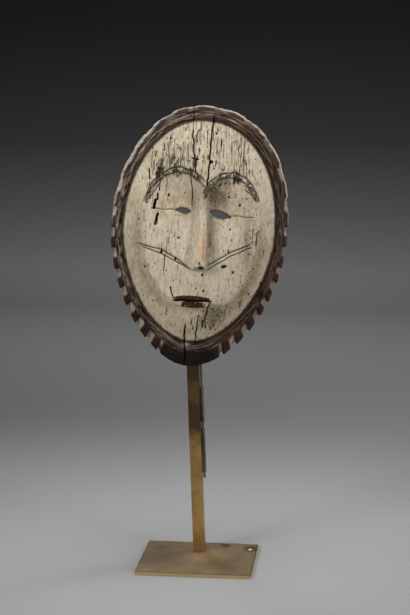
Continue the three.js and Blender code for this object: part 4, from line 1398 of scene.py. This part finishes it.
def make_backdrop():
    radius = SHEET["rise_radius"]
    profile = [(SHEET["front"], 0.0), (SHEET["back"], 0.0)]
    for step in range(1, SHEET["rise_steps"] + 1):
        turn = step / SHEET["rise_steps"] * math.pi / 2
        profile.append((SHEET["back"] + radius * math.sin(turn), radius * (1 - math.cos(turn))))
    profile.append((SHEET["back"] + radius, SHEET["top"]))
    half = SHEET["width"] / 2
    vertices = [(x, y, z) for y, z in profile for x in (-half, half)]
    faces = [(2 * row, 2 * row + 1, 2 * row + 3, 2 * row + 2) for row in range(len(profile) - 1)]
    floor = mesh_object("floor", vertices, faces)
    smooth_shade(floor.data)
    nodes = Nodes("studio_floor")
    _, back, up = nodes.axes()
    # The floor one pale grey, and painted shade on the rise behind it
    grey = nodes.ramp(nodes.math("ADD", back, up), SHEET_TONES_AND_SHADE)
    set_material(floor, nodes.finish(grey, 0.85, nodes.bump(nodes.noise(0.002), 0.0001, 0.2)))
    floor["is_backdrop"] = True


def make_lights():
    """Soft lights aimed at their targets, and a faint light from all around."""
    for name, place, target, size, watts, spread in LIGHTS:
        data = bpy.data.lights.new(name, "AREA")
        data.shape = "RECTANGLE"
        data.size, data.size_y = size
        data.energy = watts
        data.spread = math.radians(spread)
        light = add_object(name, data)
        light.location = place
        light.rotation_euler = (Vector(target) - Vector(place)).to_track_quat("-Z", "Y").to_euler()
    world = bpy.data.worlds.new("studio")
    world.use_nodes = True
    background = world.node_tree.nodes["Background"]
    background.inputs["Color"].default_value = WORLD["colour"]
    background.inputs["Strength"].default_value = WORLD["strength"]
    bpy.context.scene.world = world


def make_camera():
    data = bpy.data.cameras.new("camera")
    data.sensor_width = CAMERA["sensor"]
    data.lens = CAMERA["lens"]
    data.clip_start = CAMERA["clip_start"]
    camera = add_object("camera", data)
    camera.location = CAMERA["place"]
    camera.rotation_euler = (math.radians(90 - CAMERA["looks_down"]), 0, math.radians(CAMERA["turn"]))
    bpy.context.scene.camera = camera


make_camera()
make_lights()
make_backdrop()
make_mask(wood_material())
make_plate(plate_material())
make_post(post_material())
bracket_brass = bracket_material()
for bracket_node in ("sleeve_upper", "sleeve_lower", "bracket"):
    set_material(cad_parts[bracket_node], bracket_brass)

bpy.context.scene.view_settings.view_transform = "Standard"

plain = lambda box: [list(map(float, corner)) for corner in box]
{"cad": plain(cad_box), "visual": plain(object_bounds())}
